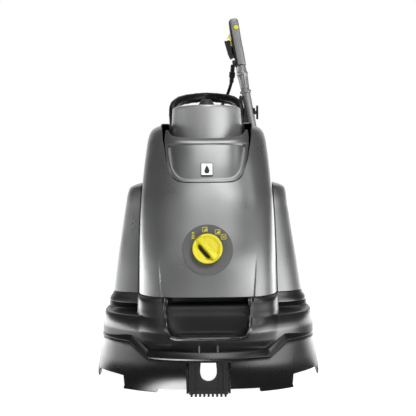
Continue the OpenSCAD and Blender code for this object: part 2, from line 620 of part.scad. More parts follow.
// hose fitting: leaves the gun's foot to the left and to the rear
fit_a = [77.6, 142, 866];
fit_b = [74, 172, 822];
module gun_hose_fitting() {
    d = fit_b - fit_a;
    color(black) {
        translate(fit_a) rotate([0, acos(d[2] / norm(d)), atan2(d[1], d[0])]) {
            cylinder(r = 6.4, h = 24);
            translate([0, 0, 23]) cylinder(r = 9.5, h = 14, $fn = 6);
            translate([0, 0, 36]) cylinder(r = 6.6, h = norm(d) - 36);
        }
        on_lance() translate([-22, -6, 176]) cube([7.2, 12, 16]);
    }
}
module lance_cup() {
    color(black) on_lance() translate([0, 0, lance_low - 3.2]) difference() {
        cylinder(r = 15.5, h = 62);
        translate([0, 0, 2.6]) cylinder(r = 10, h = 80);
    }
}
// clamp on the right leg of the bow, with an open clip for the lance and an arm for the cable hook
module lance_holder() {
    color(black) {
        on_lance() translate([0, 0, 27]) difference() {
            union() {
                cylinder(r = lance_r + 5, h = 18);
                translate([-17.8, -22, 0]) cube([12, 16, 18]);
            }
            translate([0, 0, -1]) cylinder(r = lance_r + 0.3, h = 40);
            rotate(-40) translate([0, -60, -1]) cube([60, 60, 40]);
        }
        translate([107.7, 87, 694]) cube([5, 38, 42]);
        translate([124, 155, 720]) cube([15, 5, 14]);
    }
}
// a swivelling cable hook on the end of the holder's arm
hook_at = [139.4, 158, 731];
module cable_hook() {
    color(black) translate(hook_at) rotate([0, 90, 0]) {
        cylinder(r = 4, h = 8);
        translate([0, 0, 5.6]) linear_extrude(6) difference() {
            hull() {
                translate([-12, 0]) circle(r = 8, $fn = 32);
                translate([16, 0]) circle(r = 4.5, $fn = 32);
            }
            translate([-12.5, 0]) circle(r = 4, $fn = 24);
        }
    }
}

// ---- hose: it leaves the outlet on the deck, is wound on the rear hook and runs up to the gun ----
coil_out_r = coil_mid_r + coil_pitch * (coil_rings - 1) / 2;
coil_depth = coil_pitch * coil_layers;
lead_points = [for (z = [270, 300, 340, 380, 415]) [-105.3, 226.9, z]];
run_points = [[-105, 256.6, 545], [-101, 256.6, 575], [-93, 256, 606], [-78, 254, 637], [-56, 250, 666],
    [-28, 245, 692], [4, 238, 715], [32, 229, 741], [52, 216, 768], [65, 196, 795], [74, 172, 822]];
module hose() {
    color(black) {
        tube(lead_points, hose_d / 2, hose_d / 2, 10);
        tube(spline(run_points, 4), hose_d / 2, hose_d / 2, 10);
    }
}
module hose_coil() {
    coil_in_r = coil_mid_r - coil_pitch * (coil_rings - 1) / 2;
    color(black) translate([0, coil_y + coil_depth, coil_c[2]]) rotate([90, 0, 0]) difference() {
        cylinder(r = coil_out_r + hose_d / 2 + 0.3, h = coil_depth, $fn = 96);
        translate([0, 0, -1]) cylinder(r = coil_in_r - hose_d / 2 - 0.3, h = coil_depth + 2, $fn = 96);
    }
}
// a half-round saddle that the coil hangs on, with a keeper at its end
module hose_hook() {
    saddle = 57;
    color(black) translate([0, 216.5, coil_c[2]]) rotate([-90, 0, 0]) {
        difference() {
            union() {
                cylinder(r = saddle, h = 60);
                translate([0, 0, 54]) cylinder(r = saddle + 14, h = 6);
                cylinder(r = saddle + 10, h = 4);
            }
            translate([0, 0, -1]) cylinder(r = saddle - 5, h = 70);
            translate([-100, -12, -1]) cube([200, 120, 70]);
        }
    }
}
module hose_outlet() {
    color(brass) translate([-105.3, 226.9, 0]) {
        translate([0, 0, 226]) cylinder(r = 6, h = 20);
        translate([0, 0, 239]) cylinder(r = 11, h = 12, $fn = 6);
        translate([0, 0, 250]) cylinder(r = 7, h = 20);
    }
}
module water_inlet() {
    color(brass) translate([215, 255, 170]) rotate([-90, 0, 0]) {
        cylinder(r = 12, h = 34);
        translate([0, 0, 30.4]) cylinder(r = 17, h = 6, $fn = 6);
        translate([0, 0, 36]) cylinder(r = 11, h = 14);
    }
}
module fuel_cap() {
    color(signal_yellow) translate([165, 248, 238.6]) {
        difference() {
            cylinder(r = 31, h = 15);
            for (k = [0:11]) rotate(30 * k) translate([33, 0, -1]) cylinder(r = 4, h = 20);
        }
        translate([0, 0, -10]) cylinder(r = 22, h = 10.5);
    }
}

// ---- inside ----
module fuel_tank() {
    color("white") difference() {
        union() {
            translate([-180, 220, 72]) cube([374, 57, 148]);
            translate([165, 248, 219]) cylinder(r = 26, h = 14);
        }
        translate([-176, 224, 76]) cube([366, 49, 140]);
        translate([165, 248, 200]) cylinder(r = 23, h = 40);
    }
}
module motor() {
    color("silver") along_x(-150, -100, 142) difference() {
        cylinder(r = 60, h = 190);
        translate([0, 0, 8]) cylinder(r = 47, h = 174);
        translate([0, 0, -1]) cylinder(r = 9.06, h = 200);
    }
}
module motor_rotor() {
    color(steel) along_x(-170, -100, 142) {
        cylinder(r = 9, h = 222);
        translate([0, 0, 35]) cylinder(r = 45, h = 150);
        difference() {
            cylinder(r = 52, h = 12);
            for (k = [0:7]) rotate(45 * k) translate([34, 0, -1]) cylinder(r = 9, h = 14);
        }
    }
}
module pump() {
    color(brass) {
        along_x(42, -100, 142) difference() {
            cylinder(r = 48, h = 50);
            translate([0, 0, -1]) cylinder(r = 9.6, h = 30);
        }
        translate([91, -142, 100]) cube([55, 84, 84]);
        for (y = [-125, -100, -75]) translate([130, y, 183]) cylinder(r = 9, h = 10);
    }
}
module boiler_shell() {
    color(steel) translate([0, boiler_y, 332]) difference() {
        cylinder(r = 86, h = 380);
        translate([0, 0, 3]) cylinder(r = 83, h = 374);
        translate([0, 0, -1]) cylinder(r = 34, h = 10);
        translate([0, 0, 370]) cylinder(r = 46, h = 20);
    }
}
module heating_coil() {
    color(steel) translate([0, boiler_y, 0]) for (k = [0:14]) translate([0, 0, 360 + 22 * k])
        rotate_extrude($fn = 72) translate([68, 0]) circle(r = 7, $fn = 24);
}
module burner_blower() {
    color("gray") {
        translate([0, boiler_y, 316]) cylinder(r = 30, h = 34);
        along_x(-34, boiler_y, 276) cylinder(r = 44, h = 68);
        along_x(34, boiler_y, 276) cylinder(r = 30, h = 70);
    }
}
module water_tank() {
    color("white") translate([180, -52, 250]) difference() {
        cube([34, 120, 150]);
        translate([3, 3, 3]) cube([28, 114, 140]);
    }
}

module side_pair_left() { mirror([1, 0, 0]) children(); }

base_tray();
bumper_skirt();
front_foot();
foot_pads();
carry_grip();
front_cover();
badge_cover();
badge();
side_pair_left() side_cover();  // side_cover_left
side_cover();  // side_cover_right
rear_cover();
top_cover();
boiler_hood();
flue_grille();
flue_cap();
push_bow();
bow_screws();
dial_plate();
dial_marks();
selector_knob();
knob_shaft();
rotary_switch();
control_box();
color(black) at_wheel(-1) tyre();  // tyre_left
color(black) at_wheel(1) tyre();  // tyre_right
color(anthracite) at_wheel(-1) wheel_hub();  // wheel_hub_left
color(anthracite) at_wheel(1) wheel_hub();  // wheel_hub_right
color(black) at_wheel(-1) hub_caps();  // hub_caps_left
color(black) at_wheel(1) hub_caps();  // hub_caps_right
axle();
axle_bushes();
side_pair_left() mudguard();  // mudguard_left
mudguard();  // mudguard_right
lance_cup();
lance_holder();
cable_hook();
lance_tube();
lance_sleeve();
lance_collar();
lance_grip();
gun_body();
gun_soft_grip();
gun_button();
trigger();
safety_latch();
gun_hose_fitting();
hose();
hose_coil();
hose_hook();
hose_outlet();
water_inlet();
fuel_cap();
fuel_tank();
motor();
motor_rotor();
pump();
boiler_shell();
heating_coil();
burner_blower();
water_tank();
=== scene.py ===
"""Looks for the upright hot-water pressure washer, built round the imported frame.

Lengths in the tables are millimetres, as in the part's source; meshes are made in metres.
Front is -Y, up is +Z, and the origin lies on the floor under the middle of the machine.
"""
import json
import math

import bmesh
import bpy
import numpy as np
from mathutils import Matrix, Vector

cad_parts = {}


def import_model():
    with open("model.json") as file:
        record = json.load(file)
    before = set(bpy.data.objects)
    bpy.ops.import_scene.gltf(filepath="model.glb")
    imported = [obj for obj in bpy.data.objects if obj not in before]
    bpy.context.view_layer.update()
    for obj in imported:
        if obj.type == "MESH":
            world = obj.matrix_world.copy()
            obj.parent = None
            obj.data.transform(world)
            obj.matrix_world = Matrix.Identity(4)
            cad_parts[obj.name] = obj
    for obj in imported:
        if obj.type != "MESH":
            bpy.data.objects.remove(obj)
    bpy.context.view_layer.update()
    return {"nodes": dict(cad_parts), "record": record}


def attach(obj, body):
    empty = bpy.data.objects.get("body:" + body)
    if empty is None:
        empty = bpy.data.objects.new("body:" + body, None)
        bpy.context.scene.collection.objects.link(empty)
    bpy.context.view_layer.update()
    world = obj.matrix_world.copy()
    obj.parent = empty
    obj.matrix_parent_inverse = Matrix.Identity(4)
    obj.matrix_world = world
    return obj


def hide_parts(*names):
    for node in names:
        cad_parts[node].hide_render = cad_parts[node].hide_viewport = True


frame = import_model()
MM = 0.001


def add_object(name, data):
    """A new object in the scene."""
    made = bpy.data.objects.new(name, data)
    bpy.context.scene.collection.objects.link(made)
    return made


# ---- camera
IMAGE_SIDE = 416
CAMERA_PLACE = (0.002, -2.3, 0.452)
FOCAL_PIXELS = 840.0
SENSOR_MM = 36.0
ROLL = math.radians(0.45)

camera_data = bpy.data.cameras.new("camera")
camera_data.sensor_width = SENSOR_MM
camera_data.lens = FOCAL_PIXELS / IMAGE_SIDE * SENSOR_MM
camera = add_object("camera", camera_data)
camera.location = CAMERA_PLACE
camera.rotation_euler = (math.radians(90), ROLL, 0)
bpy.context.scene.camera = camera


# ---- the hose
HOSE_D = 9.5
COIL_MIDDLE = (0.0, 480.0)
COIL_Y = 222.0
COIL_PITCH = 1.042 * HOSE_D
COIL_RINGS = 5
COIL_LAYERS = 4
COIL_MID_R = 85.5
COIL_STEPS = 20
HOSE_LEAD = [(-105.3, 226.9, z) for z in (270, 300, 340, 380, 415)]
HOSE_RUN = [(-105, 256.6, 545), (-101, 256.6, 575), (-93, 256, 606), (-78, 254, 637), (-56, 250, 666),
            (-28, 245, 692), (4, 238, 715), (32, 229, 741), (52, 216, 768), (65, 196, 795),
            (74, 172, 822)]


def coil_points():
    """The wound part of the hose: each layer is a flat spiral, in and out by turns."""
    points = []
    outer = COIL_MID_R + COIL_PITCH * (COIL_RINGS - 1) / 2
    inner = COIL_MID_R - COIL_PITCH * (COIL_RINGS - 1) / 2
    turns = COIL_RINGS - 1 + 1 / 16
    angle = 180.0
    for layer in range(COIL_LAYERS):
        start, end = (outer, inner) if layer % 2 == 0 else (inner, outer)
        y = COIL_Y + COIL_PITCH * (layer + 0.5)
        count = int(turns * COIL_STEPS)
        for i in range(count + 1):
            f = i / count
            r = start + (end - start) * f
            a = math.radians(angle - 360 * turns * f)
            points.append((r * math.cos(a), y, COIL_MIDDLE[1] + r * math.sin(a)))
        angle -= 360 * turns
        if layer < COIL_LAYERS - 1:
            for i in range(1, 5):
                f = i / 5
                a = math.radians(angle - 90 * f)
                depth = y + COIL_PITCH * (3 * f * f - 2 * f ** 3)
                points.append((end * math.cos(a), depth, COIL_MIDDLE[1] + end * math.sin(a)))
            angle -= 90
    return points


def smooth_line(points, steps):
    """Catmull-Rom points through a list of points."""
    p = [np.array(q, float) for q in points]
    p = [2 * p[0] - p[1]] + p + [2 * p[-1] - p[-2]]
    out = []
    for i in range(1, len(p) - 2):
        for s in range(steps):
            t = s / steps
            out.append(0.5 * (2 * p[i] + (p[i + 1] - p[i - 1]) * t
                              + (2 * p[i - 1] - 5 * p[i] + 4 * p[i + 1] - p[i + 2]) * t * t
                              + (3 * p[i] - p[i - 1] - 3 * p[i + 1] + p[i + 2]) * t ** 3))
    out.append(p[-2])
    return out


hose_points = smooth_line(HOSE_LEAD + coil_points() + HOSE_RUN, 2)
hose_data = bpy.data.curves.new("hose_line", "CURVE")
hose_data.dimensions = "3D"
hose_data.bevel_depth = HOSE_D / 2 * MM
hose_data.bevel_resolution = 4
hose_spline = hose_data.splines.new("POLY")
hose_spline.points.add(len(hose_points) - 1)
for spline_point, q in zip(hose_spline.points, hose_points):
    spline_point.co = (q[0] * MM, q[1] * MM, q[2] * MM, 1)
hose = add_object("high_pressure_hose", hose_data)


# ---- materials
TONE_NOISE = {"Scale": 7.0, "Detail": 3.0}
GLOSS_NOISE = {"Scale": 23.0, "Detail": 4.0}
GLOSS_SPREAD = 0.03


def add_node(tree, kind, inputs, **settings):
    """A node with a number or another node's output on each input named."""
    node = tree.nodes.new(kind)
    for name, value in settings.items():
        setattr(node, name, value)
    for slot, value in inputs.items():
        if isinstance(value, bpy.types.NodeSocket):
            tree.links.new(value, node.inputs[slot])
        else:
            node.inputs[slot].default_value = value
    return node


def noise(tree, place, scale):
    """An even noise in the space of the object."""
    return add_node(tree, "ShaderNodeTexNoise", {**scale, "Vector": place}).outputs["Fac"]


def spread(tree, source, low, high):
    """The middle of a noise's range, stretched from low to high."""
    ends = {"From Min": 0.3, "From Max": 0.7, "To Min": low, "To Max": high}
    return add_node(tree, "ShaderNodeMapRange", {**ends, "Value": source}).outputs["Result"]


def material(name, color, roughness, metallic=0.0, grain=900.0, grain_depth=0.00002, mottle=0.06,
             coat=0.0, ior=1.5):
    """A moulded or machined surface: fine grain in the relief, slow changes of tone and of gloss."""
    color = color if isinstance(color, tuple) else (color, color, color)
    made = bpy.data.materials.new(name)
    made.use_nodes = True
    tree = made.node_tree
    shader = tree.nodes["Principled BSDF"]
    shader.inputs["Metallic"].default_value = metallic
    shader.inputs["IOR"].default_value = ior
    shader.inputs["Coat Weight"].default_value = coat
    shader.inputs["Coat Roughness"].default_value = 0.12
    place = tree.nodes.new("ShaderNodeTexCoord").outputs["Object"]
    tones = {"A": (*[c * (1 - mottle) for c in color], 1),
             "B": (*[min(1, c * (1 + mottle)) for c in color], 1),
             "Factor": spread(tree, noise(tree, place, TONE_NOISE), 0, 1)}
    mix = add_node(tree, "ShaderNodeMix", tones, data_type="RGBA")
    gloss = noise(tree, place, GLOSS_NOISE)
    gloss = spread(tree, gloss, roughness - GLOSS_SPREAD, roughness + GLOSS_SPREAD)
    height = noise(tree, place, {"Scale": grain, "Detail": 2.0})
    bump = add_node(tree, "ShaderNodeBump", {"Distance": grain_depth, "Strength": 0.5, "Height": height})
    tree.links.new(mix.outputs["Result"], shader.inputs["Base Color"])
    tree.links.new(gloss, shader.inputs["Roughness"])
    tree.links.new(bump.outputs["Normal"], shader.inputs["Normal"])
    return made


# colour (one number is a neutral grey), roughness, and what differs from a plain moulding
PAINTS = {
    "grey_cover": [(0.36, 0.363, 0.365), 0.3, {"metallic": 0.88, "grain": 1400, "mottle": 0.03}],
    "hood_paint": [(0.56, 0.564, 0.568), 0.32, {"metallic": 0.74, "grain": 1400, "mottle": 0.02}],
    "black_base": [(0.008, 0.008, 0.0085), 0.3, {"grain": 1200, "mottle": 0.1, "ior": 2.3}],
    "skirt_plastic": [(0.006, 0.006, 0.0065), 0.29, {"grain": 1100, "mottle": 0.1, "ior": 1.75}],
    "pocket_plastic": [(0.006, 0.006, 0.0065), 0.5, {"grain": 1100, "mottle": 0.1}],
    "black_bow": [0.005, 0.36, {"grain": 1200, "ior": 1.45}],
    "rubber_feet": [0.012, 0.7, {}],
    "badge_plate": [(0.75, 0.76, 0.77), 0.25, {"mottle": 0.03}],
    "flue_steel": [0.02, 0.45, {}],
    "dark_grey": [(0.035, 0.035, 0.036), 0.45, {}],
    "rear_plastic": [(0.014, 0.014, 0.0145), 0.42, {"grain": 1100, "mottle": 0.1}],
    "dial_paint": [(0.10, 0.10, 0.102), 0.55, {"mottle": 0.04, "ior": 1.3}],
    "zinc_steel": [(0.5, 0.5, 0.52), 0.3, {"metallic": 1.0}],
    "yellow_plastic": [(0.64, 0.57, 0.018), 0.28, {"grain": 1500, "mottle": 0.02, "coat": 0.7}],
    "switch_plastic": [0.03, 0.5, {}],
    "aluminium": [(0.55, 0.55, 0.56), 0.4, {"metallic": 1.0}],
    "tyre_rubber": [0.011, 0.75, {"grain": 700, "grain_depth": 0.00006}],
    "hub_plastic": [(0.10, 0.10, 0.102), 0.42, {}],
    "white_plastic": [(0.65, 0.65, 0.62), 0.5, {}],
    "black_fittings": [0.012, 0.38, {}],
    "soft_grip": [0.01, 0.62, {"grain": 600, "grain_depth": 0.00006}],
    "lance_steel": [0.5, 0.28, {"metallic": 1.0}],
    "gun_grey": [(0.33, 0.33, 0.333), 0.36, {"metallic": 0.65, "grain": 1400, "mottle": 0.04}],
    "hose_rubber": [0.009, 0.55, {"grain": 500}],
    "brass_fittings": [(0.6, 0.42, 0.16), 0.3, {"metallic": 1.0}],
    "rotor_steel": [(0.45, 0.45, 0.46), 0.35, {"metallic": 1.0}],
    "boiler_steel": [0.5, 0.4, {"metallic": 1.0}],
}
MATERIALS = {name: material(name, color, rough, **more) for name, (color, rough, more) in PAINTS.items()}

for subpart in frame["record"]["subparts"]:
    node = frame["nodes"][subpart["node"]]
    node.data.materials.clear()
    node.data.materials.append(MATERIALS[subpart["material_slot"]])

hose_data.materials.append(MATERIALS["hose_rubber"])
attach(hose, "machine")
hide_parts("hose", "hose_coil")


# ---- mesh helpers
def pchip(rows, column):
    """A smooth curve through column of rows of [height, values...] that never overshoots."""
    xs = np.array([r[0] for r in rows], float)
    ys = np.array([r[column] for r in rows], float)
    h = np.diff(xs)
    d = np.diff(ys) / h
    m = np.zeros_like(ys)
    for i in range(1, len(xs) - 1):
        if d[i - 1] * d[i] > 0:
            w1 = 2 * h[i] + h[i - 1]
            w2 = h[i] + 2 * h[i - 1]
            m[i] = (w1 + w2) / (w1 / d[i - 1] + w2 / d[i])
    m[0], m[-1] = d[0], d[-1]

    def value(x):
        x = np.clip(x, xs[0], xs[-1])
        i = np.clip(np.searchsorted(xs, x, side="right") - 1, 0, len(xs) - 2)
        t = (x - xs[i]) / h[i]
        return ((1 + 2 * t) * (1 - t) ** 2 * ys[i] + t * (1 - t) ** 2 * h[i] * m[i]
                + t * t * (3 - 2 * t) * ys[i + 1] + t * t * (t - 1) * h[i] * m[i + 1])
    return value


def curves(rows):
    """One smooth curve for each column of the rows after the first."""
    return [pchip(rows, k) for k in range(1, len(rows[0]))]


def values(rows, z):
    """What the curves of a table say at height z."""
    return [float(curve(z)) for curve in curves(rows)]


def ease(x, low, high):
    """0 below low, 1 above high, smooth between."""
    t = np.clip((x - low) / (high - low), 0, 1)
    return t * t * (3 - 2 * t)


def power(value, exponent):
    """The value raised to the exponent, with its sign kept."""
    return np.sign(value) * np.abs(value) ** exponent


def placed(at, degrees, axis="X"):
    """The place of a part: moved to a point, in mm, and turned about one axis."""
    return Matrix.Translation(Vector(at) * MM) @ Matrix.Rotation(math.radians(degrees), 4, axis)


def side_name(side):
    """The word for a side: -1 is left, 1 is right."""
    return "left" if side < 0 else "right"


def link(name, verts, faces):
    """A new object in the scene, from points in mm and faces."""
    mesh = bpy.data.meshes.new(name)
    mesh.from_pydata([tuple(np.asarray(v) * MM) for v in verts], [], faces)
    return add_object(name, mesh)


def settle(made):
    """Apply the piece's modifiers."""
    view = bpy.context.evaluated_depsgraph_get()
    done = bpy.data.meshes.new_from_object(made.evaluated_get(view))
    made.modifiers.clear()
    made.data = done


def soften(made, width):
    """Round the sharp edges of a piece."""
    bevel = made.modifiers.new("bevel", "BEVEL")
    bevel.width = width * MM
    bevel.segments = 2
    bevel.limit_method = "ANGLE"
    bevel.angle_limit = math.radians(32)


def weld(made):
    """Join the points that lie on one another, and drop edges and faces without size."""
    work = bmesh.new()
    work.from_mesh(made.data)
    bmesh.ops.remove_doubles(work, verts=work.verts, dist=0.00002)
    bmesh.ops.dissolve_degenerate(work, dist=0.00001, edges=work.edges)
    work.to_mesh(made.data)
    work.free()


def thicken(made, thick):
    """Give a sheet its wall: inwards, or outwards when below 0."""
    solid = made.modifiers.new("solid", "SOLIDIFY")
    solid.thickness = thick * MM
    solid.offset = -1


def piece(made, slot, *replaced, body="machine", thick=0, bevel=0, angle=35, look=None):
    """Finish a new piece: wall, edges, shading, material, body and the CAD node it stands for."""
    weld(made)
    if thick:
        thicken(made, thick)
    if bevel:
        soften(made, bevel)
    if thick or bevel:
        settle(made)
    made.data.materials.clear()
    made.data.materials.append(MATERIALS[look or slot])
    made.data.polygons.foreach_set("use_smooth", [True] * len(made.data.polygons))
    made.data.set_sharp_from_angle(angle=math.radians(angle))
    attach(made, body)
    if replaced:
        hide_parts(*replaced)


def grid(name, rows, closed=False, cap_low=False, cap_high=False, place=None):
    """A sheet through rows of points; rows run up, columns from left to right seen from outside."""
    rows = np.asarray(rows, float)
    n, m = rows.shape[:2]
    verts = rows.reshape(-1, 3)
    faces = []
    last = m if closed else m - 1
    for i in range(n - 1):
        for j in range(last):
            a, b = i * m + j, i * m + (j + 1) % m
            faces.append((a, b, b + m, a + m))
    if cap_low:
        faces.append(tuple(range(m - 1, -1, -1)))
    if cap_high:
        faces.append(tuple(range((n - 1) * m, n * m)))
    made = link(name, verts, faces)
    if place:
        made.data.transform(place)
    return made


def block(name, rows, place=None):
    """A solid through rows of closed rings."""
    return grid(name, rows, closed=True, cap_low=True, cap_high=True, place=place)


def spans(*parts):
    """Evenly spaced values for each (first, last, count), one after another."""
    return np.concatenate([np.linspace(*part) for part in parts])


def full_turn(count):
    """Angles all round, evenly spaced."""
    return np.linspace(0, 2 * math.pi, count, endpoint=False)


def circle(r, z, sides):
    """Points round the Z axis."""
    return [(r * math.cos(a), r * math.sin(a), z) for a in full_turn(sides)]


def level(x, y, z):
    """Points at one height."""
    return np.stack([x, y, np.full(len(x), z)], axis=-1)


def resample(points, count):
    """The same line with count points at even distances."""
    points = np.asarray(points, float)
    steps = np.concatenate([[0], np.cumsum(np.linalg.norm(np.diff(points, axis=0), axis=1))])
    at = np.linspace(0, steps[-1], count)
    return np.stack([np.interp(at, steps, points[:, k]) for k in range(points.shape[1])], axis=1)


def arc(w, a, y0, n, t):
    """Points of a quarter superellipse, t in degrees: 0 is the front, 90 the side."""
    t = np.radians(np.clip(t, 0, 90))
    return np.stack([w * np.sin(t) ** (2 / n), y0 - a * np.cos(t).clip(0) ** (2 / n)], axis=-1)


def mirror_row(half):
    """A row from the left end to the right end, from the half that runs from the middle to the right."""
    left = half[:0:-1].copy()
    left[:, 0] *= -1
    return np.concatenate([left, half])


def mirror_ring(half):
    """A closed ring, from the half that runs from the middle round the right to the middle."""
    left = half[-2:0:-1].copy()
    left[:, 0] *= -1
    return np.concatenate([half, left])


# ---- front cover
COVER = [[234, 178, -255, -100, 3.3, -92], [330, 177, -240, -97, 3.1, -92],
         [420, 175, -217, -95, 2.9, -92], [470, 172.5, -203, -90, 2.8, -80],
         [512, 170.5, -189, -72, 2.7, -40], [560, 167, -172, -50, 2.7, 20],
         [610, 161.5, -152, -34, 2.6, 20], [630, 159, -143, -28, 2.6, 20],
         [645, 156, -135, -22, 2.5, 20], [655, 152.5, -128, -19, 2.45, 20],
         [663, 147.5, -120, -16, 2.4, 20], [669, 140.5, -110, -13, 2.35, 20],
         [673, 132, -102, -11, 2.3, 20], [676, 122, -96, -10, 2.3, 20]]
COVER_TOP = [[0, 515], [14, 516], [20, 521], [24.5, 531], [28.5, 551], [34, 582], [41, 628], [45, 650],
             [56, 668], [73, 675], [90, 676], [91, 664], [92, 650]]
COVER_SET_BACK = 6.0
SEAM_CLIMB = 5.5
COVER_FOOT_HALF = 178


def seam_rise(x):
    """The seam between the cover and the base climbs a little towards the corners."""
    return SEAM_CLIMB * np.clip(np.abs(x) / COVER_FOOT_HALF, 0, 1) ** 6


def cover_row(s, z):
    """Points of the cover at its plan angles s and heights z."""
    w, yf, y0, n, y_end = [c(z) for c in curves(COVER)]
    front = np.minimum(s, 90)
    t = np.radians(front)
    x = w * np.sin(t) ** (2 / n)
    y = y0 - (y0 - yf) * np.cos(t).clip(0) ** (2 / n)
    side = s > 90
    y = np.where(side, y0 + (y_end - y0) * (s - 90) / 2, y)
    edge = 114 + (z - 233) * 0.075
    panel = (1 - ease(np.abs(x), edge - 1.2, edge + 1.2)) * (1 - ease(z, 233, 345))
    return np.stack([x, y + COVER_SET_BACK * panel, z], axis=-1)


def cover_angles():
    """Plan angles of the cover's columns, closer together where the panel's edge runs."""
    steps = ((0, 0.56, 0.03), (0.56, 0.76, 0.008), (0.76, 0.90, 0.02))
    share = np.concatenate([np.arange(*step) for step in steps])
    s = np.degrees(np.arcsin(share ** 1.75))
    side = 90 + np.array([0.34, 0.67, 1.0, 1.4, 1.8, 2.0])
    return np.concatenate([s, np.linspace(s[-1] + 2, 90, 30), side])


def front_cover():
    """The tall cover, with its upper edge turned inwards."""
    s = cover_angles()
    top = pchip(COVER_TOP, 1)(s)
    upper = s > 46
    rows = []
    for v in np.concatenate([np.linspace(0, 0.9, 60), np.linspace(0.9, 1, 16)[1:]]):
        half = cover_row(s, 234 + v * (top - 234))
        half[:, 2] += seam_rise(half[:, 0]) * (1 - v) ** 3
        rows.append(mirror_row(half))
    for back, drop in ((0.6, -0.4), (3, -0.8), (7, -1.2), (12, -1.6)):
        half = cover_row(s, top)
        half[:, 1] += back
        half[:, 0] -= np.where(upper, 1.0, 0.3) * (0.4 + back * 0.12)
        half[:, 2] += drop * upper
        rows.append(mirror_row(half))
    made = grid("front_cover_shell", rows)
    piece(made, "grey_cover", "front_cover", thick=3, angle=40)


front_cover()

# ---- badge cover
BADGE_OUTER = [[0, 517], [30, 517.3], [55, 518.3], [70, 521], [82, 527], [91, 537], [97.5, 549],
               [101.5, 563], [105, 583], [107.8, 604], [109.6, 624], [110, 640], [108.5, 652],
               [106, 657.5], [102, 656], [98.5, 649], [92, 642], [82, 637.5], [66, 635], [40, 633.5],
               [0, 633]]
BADGE_INNER = [[0, 522], [29, 522.3], [52, 523.3], [65, 526], [75, 531.5], [83, 540.5], [89, 552],
               [93, 565.5], [96.6, 584.5], [99.2, 602], [100.5, 611], [100.7, 614], [100, 615.5],
               [99, 616.2], [96, 616.6], [90, 617], [84, 617.2], [75, 617.2], [60, 617], [36, 616.6],
               [0, 616.5]]
BADGE_Y = [[517, -181], [560, -168], [600, -152], [617, -144], [625, -140], [633, -131], [645, -121],
           [657, -112]]
BADGE_RECESS = [[517, 9], [560, 7], [600, 4], [616, 2.5]]


def badge_ring(points, back, deep):
    """A ring on the badge cover's face: set back, and sunk by a share of the recess."""
    x, z = points[:, 0], points[:, 1]
    sunk = deep * (pchip(BADGE_RECESS, 1)(z) + 8 * (x / 100) ** 2)
    y = pchip(BADGE_Y, 1)(z) + 27 * np.abs(x / 113) ** 4.5 + back + sunk
    return mirror_ring(np.stack([x, y, z], axis=-1))


def badge_cover():
    """A collar round a sunk panel."""
    outer = np.array(smooth_line([(x, 0, z) for x, z in BADGE_OUTER], 4))[:, [0, 2]]
    inner = np.array(smooth_line([(x, 0, z) for x, z in BADGE_INNER], 4))[:, [0, 2]]
    middle = np.array([0, 570.0])
    rings = [badge_ring(outer, back, 0) for back in (12, 3, 1.2)]
    for f, back in ((0.04, 0.35), (0.10, 0.05), (0.2, 0), (0.5, 0), (0.8, 0), (0.9, 0.1)):
        rings.append(badge_ring(outer + (inner - outer) * f, back, 0))
    rings.append(badge_ring(inner, 0.8, 0.05))
    slope = [(0.012, 0.5), (0.024, 0.93)]
    flat = [(f, 1) for f in (0.045, 0.1, 0.2, 0.3, 0.4, 0.5, 0.6, 0.7, 0.8, 0.9, 0.97)]
    for f, deep in slope + flat:
        rings.append(badge_ring(inner + (middle - inner) * f, 0, deep))
    made = grid("badge_cover_shell", rings, closed=True, cap_high=True)
    piece(made, "grey_cover", "badge_cover", thick=2.5, angle=38)


badge_cover()

# ---- side covers
POD = [[234, 262, 158], [312, 248.5, 150], [393, 234, 141], [446, 225, 136], [504, 213, 131],
       [510, 209, 128], [515, 201, 123], [519, 190, 116], [522, 180, 108]]
TORSO = [[234, 172], [420, 170], [500, 166], [560, 158], [600, 153], [640, 147], [660, 138], [670, 131],
         [676, 126]]
TORSO_Y = 16
TORSO_BACK = 199
TORSO_BULGE = 2.3


def torso_x(z, y):
    """Half width of the torso at a height and a depth."""
    return pchip(TORSO, 1)(z) * (1 - ((y - TORSO_Y) / TORSO_BACK) ** TORSO_BULGE) ** (1 / TORSO_BULGE)


def side_cover_half(z):
    """Plan of a side cover at height z, from the front cover round the outside to the torso."""
    w, a = values(POD, z)
    t0 = math.degrees(math.asin(((pchip(COVER, 1)(z) + 4) / w) ** 1.5))
    front = arc(w, a, 20, 3, np.linspace(t0, 90, 200))
    front = resample(np.concatenate([front, [[w, 50], [w, 76]]]), 70)
    turn = np.array([[w - 0.5, 82], [w - 2, 86], [w - 5, 88.5], [w - 9, 89]])
    back_x = torso_x(min(z, 500), 88) + 4
    back = np.array([[max(back_x, w - 30), 89], [max(back_x, w - 60), 89], [back_x, 89]])
    lead = front[0] + np.array([[-1.2, 8], [-0.8, 2], [-0.2, 0.5]])
    return level(*np.concatenate([lead, front, turn, back]).T, z)


def side_cover(side):
    """A side cover with a domed top."""
    dome = 504 + 18 * np.sin(np.radians(np.linspace(-14, 90, 16)))
    rows = []
    for z in np.concatenate([np.linspace(234, 496, 30), dome]):
        half = side_cover_half(z)
        half[:, 0] *= side
        rows.append(half if side > 0 else half[::-1])
    node = "side_cover_" + side_name(side)
    piece(grid(node + "_shell", rows), "grey_cover", node, thick=2.5, angle=38)


side_cover(-1)
side_cover(1)

